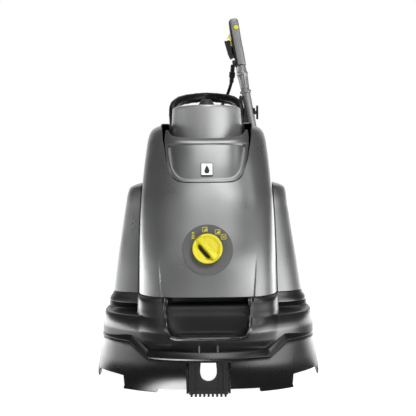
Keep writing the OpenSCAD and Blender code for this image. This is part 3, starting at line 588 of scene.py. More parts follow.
# ---- base tray
MID = [[62, 170, 150, -80, 3.2], [110, 180, 186, -85, 3.4], [131, 186, 199, -86, 3.5],
       [150, 186, 198, -89, 3.7], [160, 184.5, 194.5, -90, 3.9], [185, 182, 175, -97, 4.2],
       [199, 180.5, 168, -99, 4.3], [222, 179.3, 160, -100, 4.2], [233, 178.5, 156, -100, 3.4]]
WING = [[62, 255, 206, -60, 2], [84, 265, 217, -60, 2], [110, 277, 225.2, -60, 2.1],
        [131, 277.5, 225, -60, 2.15], [150, 277.5, 223.5, -60, 2.2], [165, 276.5, 219, -60, 2.25],
        [180, 274, 209, -60, 2.3], [188, 271, 198, -60, 2.35], [192, 270, 137, 20, 3],
        [198, 270, 141, 20, 3], [204.5, 269.5, 147, 20, 3], [207, 269, 159, 20, 3],
        [214, 266.5, 158.5, 20, 3], [222, 261.5, 158, 20, 3], [233, 256.5, 157, 20, 3]]
SIDE_END = 75
REAR_HALF = 238
FRONT_X = spans((0, 158, 89), (158.7, 190, 44))
WING_POINTS = 80
GRIP_RIGHT = [(78, 142.5), (89, 146), (97, 162), (101, 205), (104, 236)]
GRIP_EDGE = [(-x, z) for x, z in GRIP_RIGHT[::-1]] + GRIP_RIGHT
RIDGE_WIDTH = 7.5
RIDGE_HEIGHT = 3.2
FOOT_POCKET_HALF = 52


def grip_half(z):
    """Half width of the U-shaped opening at height z."""
    return np.interp(z, [point[1] for point in GRIP_RIGHT], [point[0] for point in GRIP_RIGHT])


def edge_distance(x, z):
    """Distance from the U-shaped edge of the grip, below 0 inside it."""
    line = np.array(GRIP_EDGE)
    best = np.full(x.shape, 1e9)
    for a, b in zip(line, line[1:]):
        run = b - a
        f = np.clip(((x - a[0]) * run[0] + (z - a[1]) * run[1]) / (run @ run), 0, 1)
        best = np.minimum(best, np.hypot(x - a[0] - f * run[0], z - a[1] - f * run[1]))
    inside = (np.abs(x) < grip_half(z)) & (z > GRIP_RIGHT[0][1])
    return np.where(inside, -best, best)


def front_y(x, w, a, y0, n):
    """Front of a superellipse at x; far behind beyond its side."""
    inside = np.clip(1 - np.abs(x / w) ** n, 0, 1)
    return np.where(np.abs(x) < w, y0 - a * inside ** (1 / n), 400.0)


def tray_front(x, z):
    """Front of the tray at x: whichever of the pillars and the wings stands further forward."""
    middle = front_y(x, *values(MID, z))
    wing = front_y(x, *values(WING, z))
    blend = float(np.interp(z, [180, 192], [18, 4]))
    h = np.clip(0.5 + 0.5 * (wing - middle) / blend, 0, 1)
    return wing + (middle - wing) * h - blend * h * (1 - h)


def tray_half(z):
    """Plan of the tray at height z, from the middle of the front round to the middle of the back."""
    ww, aw, yw, nw = values(WING, z)
    mid = np.stack([FRONT_X, tray_front(FRONT_X, z)], axis=-1)
    t0 = math.degrees(math.asin(((FRONT_X[-1] + 1.5) / ww) ** (nw / 2)))
    wing = resample(arc(ww, aw, yw, nw, np.linspace(t0, 90, 300)), WING_POINTS)
    side = np.array([[ww, SIDE_END - 30], [ww, SIDE_END - 8], [ww - 2, SIDE_END - 3], [ww - 7, SIDE_END],
                     [ww - 14, SIDE_END + 1], [REAR_HALF + 1, SIDE_END + 2], [REAR_HALF, SIDE_END + 4]])
    rear = np.array([[REAR_HALF, 150], [REAR_HALF, 220], [REAR_HALF, 272], [REAR_HALF - 4, 281],
                     [REAR_HALF - 12, 285], [150, 285], [75, 285], [0, 285]])
    return np.concatenate([mid, wing, side, rear])


def tray_ring(z, inset=0.0):
    """The tray's whole plan at height z, drawn in by the inset."""
    half = tray_half(z)
    x, y = half[:, 0].copy(), half[:, 1].copy()
    if inset:
        run = np.gradient(half, axis=0)
        size = np.hypot(run[:, 0], run[:, 1]).clip(1e-6)
        x -= inset * run[:, 1] / size
        y += inset * run[:, 0] / size
        x[0], x[-1] = 0, 0
    return mirror_ring(level(x, y, z))


def tray_face(z):
    """The tray's plan at one height, with the ridge round the grip and the seam's rise."""
    ring = tray_ring(z)
    x = ring[:, 0]
    d = edge_distance(x, ring[:, 2])
    near = (ring[:, 1] < -180) & (np.abs(x) < 140)
    ridge = ease(-d, -RIDGE_WIDTH, -RIDGE_WIDTH + 2.5) * (1 - ease(-d, -1.4, 0.4)) * RIDGE_HEIGHT
    wall = ease(-d, -0.6, 2.6) * 14
    front = (ring[:, 1] < -115) & (np.abs(x) < 180)
    ring[:, 2] += np.where(front, seam_rise(x), 0) * ease(z, 204, 231)
    ring[:, 1] += np.where(near, wall - ridge, 0)
    return ring


def open_tray(made):
    """Take away the faces in the grip and over the tread foot."""
    work = bmesh.new()
    work.from_mesh(made.data)
    gone = []
    for face in work.faces:
        c = face.calc_center_median() / MM
        over_grip = c.y < -180 and abs(c.x) < 106 and c.z > 140
        over_foot = abs(c.x) < 51 and c.z < 91 and c.y < -150
        if over_foot or (over_grip and edge_distance(np.array([c.x]), np.array([c.z]))[0] < -3.4):
            gone.append(face)
    bmesh.ops.delete(work, geom=gone, context="FACES")
    work.to_mesh(made.data)
    work.free()


def base_tray():
    """The tray from its foot up to the seam, open at the grip and the foot."""
    heights = spans((62, 186, 66), (187, 193, 8), (194, 203.5, 7), (204.5, 208, 4), (209, 231, 12),
                    (232, 232, 1))
    rows = [tray_ring(62.01, 3)] + [tray_face(z) for z in heights]
    rows += [tray_ring(233, 0.6), tray_ring(233, 4), tray_ring(215, 4)]
    made = grid("base_tray_shell", rows, closed=True)
    open_tray(made)
    piece(made, "black_base", "base_tray", angle=50)


def tray_floor():
    """The plate that closes the tray below, cut out round the tread foot."""
    ring = tray_ring(62.0, 2.5)
    half = ring[:len(ring) // 2 + 1]
    outline = [(FOOT_POCKET_HALF, -160)]
    outline += [(x, y) for x, y, _ in half if x >= FOOT_POCKET_HALF or y > 0]
    outline += [(-x, y) for x, y in outline[::-1] if x > 0]
    plate = [[(x, y, z) for x, y in outline] for z in (62, 66)]
    made = block("tray_floor", plate)
    piece(made, "black_base")


def foot_pocket():
    """Roof and walls of the recess that the tread foot stands in."""
    w = FOOT_POCKET_HALF
    roof = [(-276, 91.5), (-256, 91.5), (-256, 83), (-160, 64)]
    rows = [[(x, y, z) for x in (-w, -w / 2, 0, w / 2, w)] for y, z in roof]
    piece(grid("foot_pocket_roof", rows), "black_base", thick=-2)
    for side in (-1, 1):
        x = side * w
        wall = [[(x, -272, 62.5), (x, -250, 62.5), (x, -160, 62.5)],
                [(x, -276, 92), (x, -250, 84), (x, -160, 64)]]
        wall = wall if side < 0 else [row[::-1] for row in wall]
        piece(grid("foot_pocket_wall_" + side_name(side), wall), "black_base", thick=2)


base_tray()
tray_floor()
foot_pocket()

# the pocket behind the notch, where fingers reach in
POCKET = [[142.6, -284], [144.5, -274], [149, -262], [153, -259], [188, -257.5], [191, -256.5],
          [194, -254], [212, -245], [214, -238], [216, -200], [232, -196]]


def carry_grip():
    """The pocket's wall, deepest in the middle and closed towards the pillars."""
    deep = pchip(POCKET, 1)
    q = np.sin(np.linspace(-1, 1, 61) * math.pi / 2)
    rows = []
    for z in spans((142.6, 152, 10), (154, 188, 14), (190, 232, 40)):
        x = q * (grip_half(z) - 0.8)
        y = tray_front(x, z)
        d = (deep(z) - y) * (1 - np.abs(q) ** 14) ** 0.5 * (1 - 0.3 * np.abs(q) ** 4)
        rows.append(level(x, y + np.maximum(d, 2.5), z))
    made = grid("carry_grip_pocket", rows)
    piece(made, "black_base", "carry_grip", thick=2.5, angle=50, look="pocket_plastic")


carry_grip()


def tube(name, path, radius, sides):
    """A round bar along a path."""
    path = [np.array(p, float) for p in path]
    rows = []
    for i, p in enumerate(path):
        run = path[min(i + 1, len(path) - 1)] - path[max(i - 1, 0)]
        run = run / np.linalg.norm(run)
        side = np.cross(run, [0, 1, 0])
        side = side / np.linalg.norm(side)
        up = np.cross(side, run)
        rows.append([p + radius * (math.cos(a) * side + math.sin(a) * up) for a in full_turn(sides)])
    return block(name, rows)


# ---- skirt with its ridge
SKIRT_TOP = [[0, 97], [149, 97], [151, 98], [193, 130], [196, 131], [400, 131]]
SKIRT_LOW = [[0, 84], [53.8, 84], [54.2, 15], [127.5, 13], [128.5, 3.2], [213.5, 3.2], [214.5, 38],
             [270, 41], [285, 9], [315, 8], [345, 24], [415, 60]]
SKIRT_HALF = 281
SKIRT_FLARE = 15
SKIRT_TUCK = 37
SKIRT_Y = -60
SKIRT_REACH = 249


def skirt_plan(x, y, z, inset):
    """Plan of the skirt: its ends flare, and its front curves in towards the floor."""
    flare = min(1, max(0, (122 - z) / 85)) * float(ease(x, 225, SKIRT_HALF))
    tuck = min(1, max(0, (74 - z) / 71)) ** 1.9
    w = SKIRT_HALF + SKIRT_FLARE * flare - inset
    a = SKIRT_REACH - SKIRT_TUCK * tuck - inset
    if x < SKIRT_HALF:
        t = math.asin(x / SKIRT_HALF)
        return w * math.sin(t), SKIRT_Y - a * math.cos(t)
    return w, y


def skirt_column(x, y):
    """Points of the skirt at one place along it, from its lower edge up over the ridge."""
    along = x if x < SKIRT_HALF else 345 + y
    top = float(np.interp(x, [r[0] for r in SKIRT_TOP], [r[1] for r in SKIRT_TOP]))
    low = float(np.interp(along, [r[0] for r in SKIRT_LOW], [r[1] for r in SKIRT_LOW]))
    rows = [(top + 12, 12), (top + 10.5, 7.5), (top + 9.5, 6.4), (top - 2.2, 0.5), (top - 3.4, 0.1),
            (top - 4.6, 0.3), (top - 6.5, 2.2), (top - 7.6, 3.6), (top - 9, 4)]
    rows += [(top - 9 + (low - top + 9) * f, 4) for f in np.linspace(0, 1, 15)[1:]]
    column = []
    for z, inset in rows:
        px, py = skirt_plan(x, y, z, inset)
        column.append((px, py, z))
    return column[::-1]


def bumper_skirt():
    """The skirt round the front, and the two ribs on its ridge."""
    xs = spans((0, 0, 1), (4, 53.6, 14), (54.4, 54.4, 1), (58, 127.3, 24), (128.7, 128.7, 1),
               (131, 213.3, 36), (214.7, 214.7, 1), (217, 279.5, 40))
    half = [skirt_column(x, 0) for x in xs]
    half += [skirt_column(SKIRT_HALF, y) for y in np.linspace(SKIRT_Y, 70, 40)]
    half = np.array(half).transpose(1, 0, 2)
    made = grid("bumper_skirt_shell", [mirror_row(row) for row in half])
    piece(made, "black_base", "bumper_skirt", thick=2.6, angle=42, look="skirt_plastic")
    for side in (-1, 1):
        rib = [(side * 22, -300.5 + 0.225 * rise, 99 + rise) for rise in range(0, 26, 2)]
        piece(tube("ridge_rib_" + side_name(side), rib, 2.6, 12), "black_base")


bumper_skirt()


# ---- turned parts
def lathe(name, profile, sides, place):
    """A turned part: profile of (radius, height), from the bottom up the outside, round its own Z."""
    return grid(name, [circle(r, z, sides) for r, z in profile], closed=True, place=place)


def round_corner(before, corner, after, radius):
    """Points that round a corner of a profile."""
    a, b, c = [np.array(point, float) for point in (before, corner, after)]
    start = b + (a - b) / np.linalg.norm(a - b) * radius
    end = b + (c - b) / np.linalg.norm(c - b) * radius
    return [(1 - t) ** 2 * start + 2 * t * (1 - t) * b + t * t * end for t in np.linspace(0, 1, 6)]


HOOD_Y = 30


def boiler_hood():
    """A drum that narrows upwards, with a rounded shoulder and a groove round its top."""
    outline = [(101, 627.4), (100.8, 632)]
    outline += [(101 - 7 * (z - 627.4) / 100.6, z) for z in np.linspace(640, 716, 14)]
    outline += round_corner((94.8, 716), (94, 728), (62, 728.8), 5)
    outline += [(86, 728.2), (84.5, 727.2), (83, 728.2), (64, 728.8), (62.5, 728.2), (62, 726.5), (62, 720)]
    outline += [(62, 718), (60, 718)]
    made = lathe("boiler_hood_drum", outline, 144, placed((0, HOOD_Y, 0), 0))
    piece(made, "grey_cover", "boiler_hood", angle=45, look="hood_paint")


boiler_hood()

# ---- top deck and shelf round the hood
WELL_R = 104.4
DECK_HALF = 125
DECK_BACK = 198


def deck_edge(angle):
    """Distance from the hood's axis to the edge of the deck in one direction."""
    low, high = 100.0, 260.0
    for _ in range(30):
        r = (low + high) / 2
        x, y = abs(r * math.cos(angle)), HOOD_Y + r * math.sin(angle) - TORSO_Y
        inside = (x / DECK_HALF) ** TORSO_BULGE + (max(0, y) / DECK_BACK) ** TORSO_BULGE < 1
        low, high = (r, high) if inside else (low, r)
    return max(low, WELL_R + 4)


DECK_RIM = ((-1, 672), (0, 677), (-1.2, 681), (-4, 683), (-9, 683.2))
WELL_RIM = ((6, 683.2), (2.5, 682.6), (0.6, 681), (0, 678), (0, 627))
SHELF_R = 93


def top_deck():
    """The deck behind the hood, from its outer rim down into the well round the hood."""
    angles = np.radians(np.linspace(-16, 196, 107))
    edge = np.array([deck_edge(angle) for angle in angles])
    rows = []
    for reach, z in [(edge + r, z) for r, z in DECK_RIM] + [(edge * 0 + WELL_R + r, z) for r, z in WELL_RIM]:
        rows.append(level(reach * np.cos(angles), HOOD_Y + reach * np.sin(angles), z))
    made = grid("top_deck", rows)
    piece(made, "black_base", "top_cover", thick=2.5, angle=40, look="pocket_plastic")


def hood_shelf():
    """The step in front of the hood."""
    t = np.linspace(-90, 90, 61)
    outer = arc(147, 93, -25, 2.4, np.abs(t))
    outer[:, 0] *= np.sign(t)
    away = np.arctan2(outer[:, 0], -outer[:, 1])
    inner = np.stack([SHELF_R * np.sin(away), HOOD_Y - SHELF_R * np.cos(away)], axis=-1)
    lines = ((outer, 622), (outer, 626), (outer, 627), (inner, 627))
    made = grid("hood_shelf", [level(*line.T, z) for line, z in lines])
    piece(made, "black_base", thick=-2, angle=40, look="pocket_plastic")


top_deck()
hood_shelf()

# ---- badge: a drop in a frame
BADGE_PLACE = placed((0, -166.6, 550), 90 - 17)


def face_plate(name, rings, heights):
    """A low relief on the badge cover, from outlines that grow inward."""
    rows = [[(x, y, height) for x, y in ring] for ring, height in zip(rings, heights)]
    return grid(name, rows, closed=True, cap_high=True, place=BADGE_PLACE)


def rounded_outline(w, h, radius, steps=6):
    """A rectangle with the half sizes w and h and rounded corners."""
    points = []
    for across, up, start in ((1, 1, 0), (-1, 1, 90), (-1, -1, 180), (1, -1, 270)):
        for k in range(steps + 1):
            a = math.radians(start + 90 * k / steps)
            x, y = across * (w - radius), up * (h - radius)
            points.append((x + radius * math.cos(a), y + radius * math.sin(a)))
    return points


def drop_outline(size):
    """A drop with its point upwards."""
    points = []
    for k in range(40):
        a = 2 * math.pi * k / 40
        points.append((size * 0.62 * math.sin(a) * math.sin(a / 2) ** 1.6 * 1.25, size * math.cos(a)))
    return points[::-1]


def badge():
    """A plain plate with a drop, in a frame."""
    rim = [rounded_outline(*q) for q in ((15.5, 17, 3), (15.5, 17, 3), (15, 16.5, 2.6))]
    field = [rounded_outline(*q) for q in ((14.1, 15.6, 1.8), (14.1, 15.6, 1.8), (13.8, 15.3, 1.6))]
    drop = [drop_outline(q) for q in (11.5, 11.5, 10.8)]
    piece(face_plate("badge_rim", rim, (0, 1.3, 1.7)), "black_fittings", "badge", angle=30)
    piece(face_plate("badge_field", field, (1.5, 1.9, 2.1)), "badge_plate", angle=30)
    piece(face_plate("badge_drop", drop, (1.8, 2.5, 2.8)), "black_fittings", angle=30)


badge()

# ---- dial, marks and knob
PANEL_LEAN = 13
ON_PANEL = placed((0, -235.2, 350), 90 - PANEL_LEAN)
MARKS_R = 50.5
MARK_HEIGHT = 0.5


def stroke(name, outlines):
    """Flat marks, each a closed ring between two outlines or a filled outline."""
    verts, faces = [], []
    for outer, inner in outlines:
        n = len(outer)
        start = len(verts)
        rings = [[(x, y, z) for x, y in line] for line, z in ((outer, 0), (outer, MARK_HEIGHT))]
        if inner:
            rings += [[(x, y, z) for x, y in line] for line, z in ((inner, MARK_HEIGHT), (inner, 0))]
        for ring in rings:
            verts += ring
        for k in range(len(rings) - 1):
            for j in range(n):
                a, b = start + k * n + j, start + k * n + (j + 1) % n
                faces.append((a, b, b + n, a + n))
        if not inner:
            faces.append(tuple(range(start + n, start + 2 * n)))
    made = link(name, verts, faces)
    made.data.transform(ON_PANEL @ placed((0, 0, 0.52), 0))
    return made


def shift(points, dx, dy, turn=0.0):
    """The points turned about the origin and then moved."""
    c, s = math.cos(turn), math.sin(turn)
    return [(dx + x * c - y * s, dy + x * s + y * c) for x, y in points]


def ringed_mark(x, y):
    """Two rings over a bar."""
    outlines = []
    for dy, size in ((4.6, 2.9), (-3.6, 3.6)):
        ring = [(size * math.cos(t), size * math.sin(t)) for t in full_turn(20)]
        hole = [(u * 0.6, v * 0.6) for u, v in ring]
        outlines.append((shift(ring, x, y + dy), shift(hole, x, y + dy)))
    bar = [(-4.4, -0.7), (4.4, -0.7), (4.4, 0.7), (-4.4, 0.7)]
    outlines.append((shift(bar, x, y - 8.6), None))
    return outlines


def boxed_mark(x, y, turn, inside):
    """A filled shape in a square frame."""
    box = rounded_outline(6.4, 6.0, 1.0, 3)
    inner = rounded_outline(5.3, 4.9, 0.6, 3)
    return [(shift(box, x, y, turn), shift(inner, x, y, turn)), (shift(inside, x, y, turn), None)]


def on_dial(degrees):
    """A place on the ring of marks, clockwise from the top."""
    a = math.radians(degrees)
    return MARKS_R * math.sin(a), MARKS_R * math.cos(a)


def dial_marks():
    """Four marks beside the knob: rings over a bar, two wedges and a bar in frames."""
    wedge = [(-3.6, -3.4), (4.2, -3.4), (4.2, 3.2)]
    bar = [(-3.2, -1), (3.4, -1), (3.4, 0.8), (-3.2, 0.8)]
    outlines = ringed_mark(*on_dial(-44))
    for degrees, turn, inside in ((-7, 0.12, wedge), (30, 0.0, wedge), (52, 0.0, bar)):
        outlines += boxed_mark(*on_dial(degrees), turn, inside)
    made = stroke("dial_symbols", outlines)
    piece(made, "yellow_plastic", "dial_marks", angle=30)


def dial_disc():
    """The round plate under the knob, with a raised ring."""
    profile = [(62.4, -5.4), (62.9, -4.8), (62.9, -0.3), (62.3, 0.35), (61.4, 0.5), (39.5, 0.5),
               (38.8, 0.1), (6.5, 0.1), (6.3, 0), (6.3, -5.3)]
    made = lathe("dial_disc", profile, 128, ON_PANEL)
    piece(made, "dark_grey", "dial_plate", angle=35, look="dial_paint")


KNOB_TURN = math.radians(40)
KNOB_SIDES = 144


def knob_height(u, v):
    """Top of the knob: a shallow dish, a bar across it and a deep finger hollow on one side of the bar."""
    r = np.hypot(u, v)
    top = 17 - 3.5 * (1 - ease(r, 24, 33.5))
    reach = np.sqrt(np.clip(1 - (v / 35.5) ** 2, 0, 1))
    bar = (1 - ease(np.abs(u), 5.6, 8.6)) * ease(reach, 0, 0.5)
    bar_top = 30 - 6 * (v / 35) ** 2
    hollow = (1 - ease(np.abs(v / 27), 0.45, 1.0)) * ease(-u, 6.4, 9.0) * (1 - ease(-u, 10, 21))
    top = top - 7.5 * hollow
    return top + (bar_top - top) * bar


def selector_knob():
    """The knob: its side, then rings inwards over the bar and the hollow."""
    sides = ((35.6, 1), (37, 2.2), (37, 14.6), (36.6, 16), (35.7, 16.9))
    rows = [circle(r, z, KNOB_SIDES) for r, z in sides]
    angles = full_turn(KNOB_SIDES)
    for r in np.linspace(35, 1.5, 52):
        x, y = r * np.cos(angles), r * np.sin(angles)
        u = x * math.cos(KNOB_TURN) + y * math.sin(KNOB_TURN)
        v = -x * math.sin(KNOB_TURN) + y * math.cos(KNOB_TURN)
        rows.append(np.stack([x, y, knob_height(u, v)], axis=-1))
    made = grid("selector_knob_body", rows, closed=True, cap_high=True, place=ON_PANEL)
    piece(made, "yellow_plastic", "selector_knob", body="selector", angle=50)


def knob_hollow_painted_shade():
    """A dark sheet at the bottom of the finger hollow beside the bar: painted shade that stands in for the
    shadow deep in the hollow.
    """
    line = np.linspace(-1, 1, 25)
    rows = []
    for depth, grow in ((3.4, 1.0), (4.4, 1.0), (4.8, 0.92)):
        lower = [(-8.2 - 0.2 * (1 - abs(q)), 26 * q * grow) for q in line]
        upper = [(-8.4 - 10.5 * grow * (1 - q * q) ** 0.9, 26 * q * grow) for q in line[::-1][1:-1]]
        rows.append([(x, y, depth) for x, y in shift((lower + upper)[::-1], 0, 0, KNOB_TURN)])
    place = ON_PANEL @ placed((0, 0, 6.4), 0)
    made = grid("knob_hollow_painted_shade", rows, closed=True, cap_high=True, place=place)
    # the black finish on this sheet is painted shade in the hollow, not a dark part of the knob
    piece(made, "black_fittings", body="selector", angle=40)


dial_disc()
dial_marks()
selector_knob()
knob_hollow_painted_shade()

# ---- push bow
BOW_HALF = [(98, 96, 680), (98, 96, 698), (98, 97, 715), (96, 104, 740), (86, 124, 756), (66, 153, 768),
            (36, 181, 776.5), (0, 196, 781)]
BOW_TICK_GAP = 34
BOW_TICKS = 5


def bow_ring(p, run, wide, tall):
    """Section of the bow at p, across its run: an oval with flattened sides."""
    side = np.cross([0, 1, 0], run)
    side = side / np.linalg.norm(side)
    up = np.cross(run, side)
    ring = []
    for a in full_turn(28):
        ring.append(p + wide * power(math.cos(a), 0.8) * side + tall * power(math.sin(a), 0.8) * up)
    return ring


def push_bow():
    """A bar that gets wider towards its middle, with fine raised rings round the grip."""
    points = np.array(smooth_line(BOW_HALF + [(-x, y, z) for x, y, z in BOW_HALF[-2::-1]], 8))
    reach = np.concatenate([[0], np.cumsum([np.linalg.norm(b - a) for a, b in zip(points, points[1:])])])
    total = reach[-1]
    half = BOW_TICK_GAP * BOW_TICKS
    ticks = np.arange(total / 2 - half, total / 2 + half + 1, BOW_TICK_GAP)
    beside = [tick + np.array([-1.6, -0.8, 0.8, 1.6]) for tick in ticks]

    def point(at):
        at = min(total, max(0, at))
        return np.array([np.interp(at, reach, points[:, k]) for k in range(3)])

    rows = []
    for at in np.sort(np.concatenate([np.linspace(0, total, 240)] + beside)):
        run = point(at + 2) - point(at - 2)
        share = min(1, at / (total * 0.32), (total - at) / (total * 0.32))
        tick = 0.7 if np.min(np.abs(ticks - at)) < 1 else 0.0
        wide = 8 + 5.6 * ease(share, 0, 1)
        rows.append(bow_ring(point(at), run / np.linalg.norm(run), wide + tick, 13 + tick))
    made = block("push_bow_grip", rows)
    piece(made, "black_bow", "push_bow", angle=40)


push_bow()

# ---- foot rails and wheels
WHEEL_INNER_X, WHEEL_Y, WHEEL_Z = 245, 204, 105
TYRE_WIDTH = 40
TREAD_EDGE = 14.5
TREAD_DEPTH = 1.8
TREAD_SIDES = 192


def tread_cut(k, r, z):
    """Depth of the tread's notches at one point of the tyre."""
    gap = (k // 3 + (0 if z < TYRE_WIDTH / 2 else 1)) % 2
    shoulder = r > 98 and not TREAD_EDGE < z < TYRE_WIDTH - TREAD_EDGE
    return TREAD_DEPTH if gap and shoulder else 0.0


def tyre(side):
    """A tyre with a rib, two grooves and cross bars in its shoulders."""
    profile = [(69.2, 3.4), (71, 1.2), (75, 0.2), (92, 0.2), (97, 1.4), (101, 4.2), (103.6, 8),
               (104.4, 11.5), (104.4, 13.2), (102.4, 13.8), (102.4, 15.8), (104.8, 16.4), (105, 20)]
    profile += [(r, TYRE_WIDTH - z) for r, z in profile[-2::-1]]
    rows = []
    for r, z in profile:
        ring = []
        for k in range(TREAD_SIDES):
            a = 2 * math.pi * k / TREAD_SIDES
            reach = r - tread_cut(k, r, z)
            ring.append((reach * math.cos(a), reach * math.sin(a), z))
        rows.append(ring)
    name = side_name(side)
    place = placed((side * WHEEL_INNER_X, WHEEL_Y, WHEEL_Z), 90 * side, "Y")
    made = grid("tyre_" + name + "_tread", rows, closed=True, place=place)
    piece(made, "tyre_rubber", "tyre_" + name, body="wheel_" + name, angle=28)


tyre(-1)
tyre(1)


def foot_rails():
    """Upright ribs that close the sides of the tread foot."""
    plan = ((47.6, 2), (48.2, 0), (52.6, 0), (53.2, 2), (53.2, 24), (47.6, 24))
    for side in (-1, 1):
        rows = []
        for z, y in ((8, -290), (30, -291), (60, -290), (82, -286)):
            rows.append([(side * x, y + dy, z) for x, dy in plan][::side])
        made = block("foot_rail_" + side_name(side), rows)
        piece(made, "rubber_feet", angle=40)


foot_rails()

# ---- rear cover and the deck behind it
TORSO_POWER = 2 / TORSO_BULGE
DECK_Y = 93
# the two fields of louvres, from z to z
LOUVRES = ((262, 350), (604, 656))
LOUVRE_PITCH = 11


def louvre(z):
    """Depth of the louvres at height z, from 0 to 1."""
    share = 0.0
    for low, high in LOUVRES:
        if low < z < high:
            at = (z - low) % LOUVRE_PITCH
            share = ease(at, 2.5, 5) * (1 - ease(at, 8.5, 11))
    return share


def rear_shell():
    """The torso, with two fields of louvres at the back."""
    t = np.radians(spans((0, 86, 70), (90, 90, 1), (94, 180, 70)))
    rows = []
    for z in np.linspace(234, 676, 222):
        x = float(pchip(TORSO, 1)(z)) * power(np.cos(t), TORSO_POWER)
        y = TORSO_Y + TORSO_BACK * np.sin(t).clip(0) ** TORSO_POWER
        slot = louvre(z) * (1 - ease(np.abs(x), 62, 66)) * (y > 60)
        rows.append(level(x, y - 3.5 * slot, z))
    made = grid("rear_shell", rows)
    piece(made, "black_base", "rear_cover", thick=2.5, angle=30, look="rear_plastic")


def coil_hub():
    """The disc that the hose is wound round."""
    hub = [(70, 0), (70, 11), (69, 12.4), (67, 12.8), (59, 12.8), (57.5, 11.5), (20, 11.5), (18, 12.3),
           (1, 12.4)]
    made = lathe("coil_hub", hub, 96, placed((0, 203.5, 480), -90))
    piece(made, "black_base", angle=35, look="rear_plastic")


def deck_rim(t):
    """Outer edge of the rear deck in one direction: a rectangle with cut corners."""
    across, back = math.cos(t), math.sin(t) * 0.75
    far = min(236.5 / max(1e-6, abs(across)), 190.0 / max(1e-6, back))
    x, y = far * across, far * back
    over = max(0, abs(x) - 222) + max(0, y - 176) - 14
    if over > 0:
        x, y = x - math.copysign(over / 2, x), y - over / 2
    return x, DECK_Y + 1 + y


def rear_deck():
    """The deck round the foot of the torso."""
    inner, outer = [], []
    for t in np.radians(np.linspace(0, 180, 181)):
        x = 170 * power(np.cos(t), TORSO_POWER)
        y = max(DECK_Y, TORSO_Y + 197 * np.sin(t) ** TORSO_POWER)
        inner.append((x if y > DECK_Y else math.copysign(153, x), y))
        outer.append(deck_rim(t))
    rows = []
    for line, z, grow in ((outer, 234.5, 0), (outer, 236.5, 0), (outer, 238, -1.2), (inner, 238, 0)):
        rows.append([(x + math.copysign(grow, x), y + (grow if y > 94.5 else 0), z) for x, y in line])
    made = grid("rear_deck", rows)
    piece(made, "black_base", thick=2.5, angle=35, look="rear_plastic")


rear_shell()
coil_hub()
rear_deck()

# ---- spray gun
LANCE_FOOT = (131.1, 140, 693.6)
LANCE_LEAN = 10.27
ON_LANCE = placed(LANCE_FOOT, -LANCE_LEAN, "Y")
# height along the lance, left edge, right edge, half thickness
GUN = [[173.6, -14.6, 15.6, 14.2], [178, -14.7, 16.0, 14.8], [211, -14.2, 16.4, 14.8],
       [245, -13.7, 16.0, 14.6], [276, -13.3, 16.6, 14.4], [292, -12.3, 17.2, 14.2],
       [303, -11.2, 16.8, 13.6], [307.5, -9.4, 15.2, 12.6], [310.4, -5.5, 11.5, 10]]
GUN_SPLIT = -7.6
GUN_POWER = 3.2
LATCH_SLOT = ((-20, -3.5, 227.5), (0.5, 3.5, 272.5))


def cut_slot(made, low, high):
    """Take the box between two corners out of a closed piece."""
    corners = [(x, y, z) for x in (low[0], high[0]) for y in (low[1], high[1]) for z in (low[2], high[2])]
    faces = [(0, 1, 3, 2), (4, 6, 7, 5), (0, 4, 5, 1), (2, 3, 7, 6), (0, 2, 6, 4), (1, 5, 7, 3)]
    tool = link("slot_tool", corners, faces)
    cut = made.modifiers.new("slot", "BOOLEAN")
    cut.operation = "DIFFERENCE"
    cut.object = tool
    settle(made)
    tool_mesh = tool.data
    bpy.data.objects.remove(tool)
    bpy.data.meshes.remove(tool_mesh)


def gun_ring(z, left):
    """Section of one half of the gun: a rounded outline, cut at the seam."""
    x0, x1, half = [curve(z) for curve in curves(GUN)]
    middle, reach = (x0 + x1) / 2, (x1 - x0) / 2
    cut = (GUN_SPLIT - 0.25 if left else GUN_SPLIT + 0.25) - middle
    edge = math.degrees(math.acos(np.clip(power(cut / reach, GUN_POWER / 2), -1, 1)))
    angles = np.linspace(edge, 360 - edge, 49) if left else np.linspace(-edge, edge, 61)
    shrink = 0.45 if left else 0.0
    ring = []
    for a in np.radians(angles):
        x = middle + (reach - shrink) * power(math.cos(a), 2 / GUN_POWER)
        y = (half - shrink) * power(math.sin(a), 2 / GUN_POWER)
        grooved = not left and z < 262 and y < 0
        notch = 0.7 * max(0.0, 1 - abs(x - 8.2) / 0.7) if grooved else 0.0
        ring.append((x, y + notch, z))
    return ring


def gun_half(name, slot, node, left):
    """One of the two mouldings of the gun, with a slot that the latch sinks into."""
    rows = [gun_ring(z, left) for z in spans((173.6, 178, 4), (182, 296, 40), (298, 310.4, 12))]
    made = block(name, rows)
    cut_slot(made, *LATCH_SLOT)
    made.data.transform(ON_LANCE)
    piece(made, slot, node, angle=42)


def gun():
    """The two halves of the gun, the ring at its foot and the button."""
    gun_half("gun_body_shell", "gun_grey", "gun_body", False)
    gun_half("gun_grip_shell", "soft_grip", "gun_soft_grip", True)
    ring = [(15.4, 172.9), (16.2, 173.2), (16.2, 174.8), (15.4, 175.2)]
    made = lathe("gun_foot_ring", ring, 64, ON_LANCE)
    piece(made, "black_fittings", angle=40)
    button = [(6.4, -0.4), (6.4, 2.2), (6.0, 3.2), (5.2, 3.6), (3.6, 3.3), (0.6, 3.1)]
    place = ON_LANCE @ placed((7, -12.2, 283), 90)
    made = lathe("gun_button_cap", button, 48, place)
    piece(made, "yellow_plastic", "gun_button", body="gun_button", angle=40)
    rim = [(6.7, 0), (8.0, 0), (8.0, 2.6), (7.4, 3.2), (6.8, 2.9), (6.7, 0)]
    made = lathe("gun_button_rim", rim, 48, place)
    piece(made, "gun_grey", angle=40)


gun()


GRIP_CORE = [[107, 13.0], [120, 13.6], [144, 15.6], [147.5, 16.3], [152, 16.3], [155, 14.9],
             [172.8, 14.0]]
FLUTES = 10
FLUTE_DEPTH = 1.9


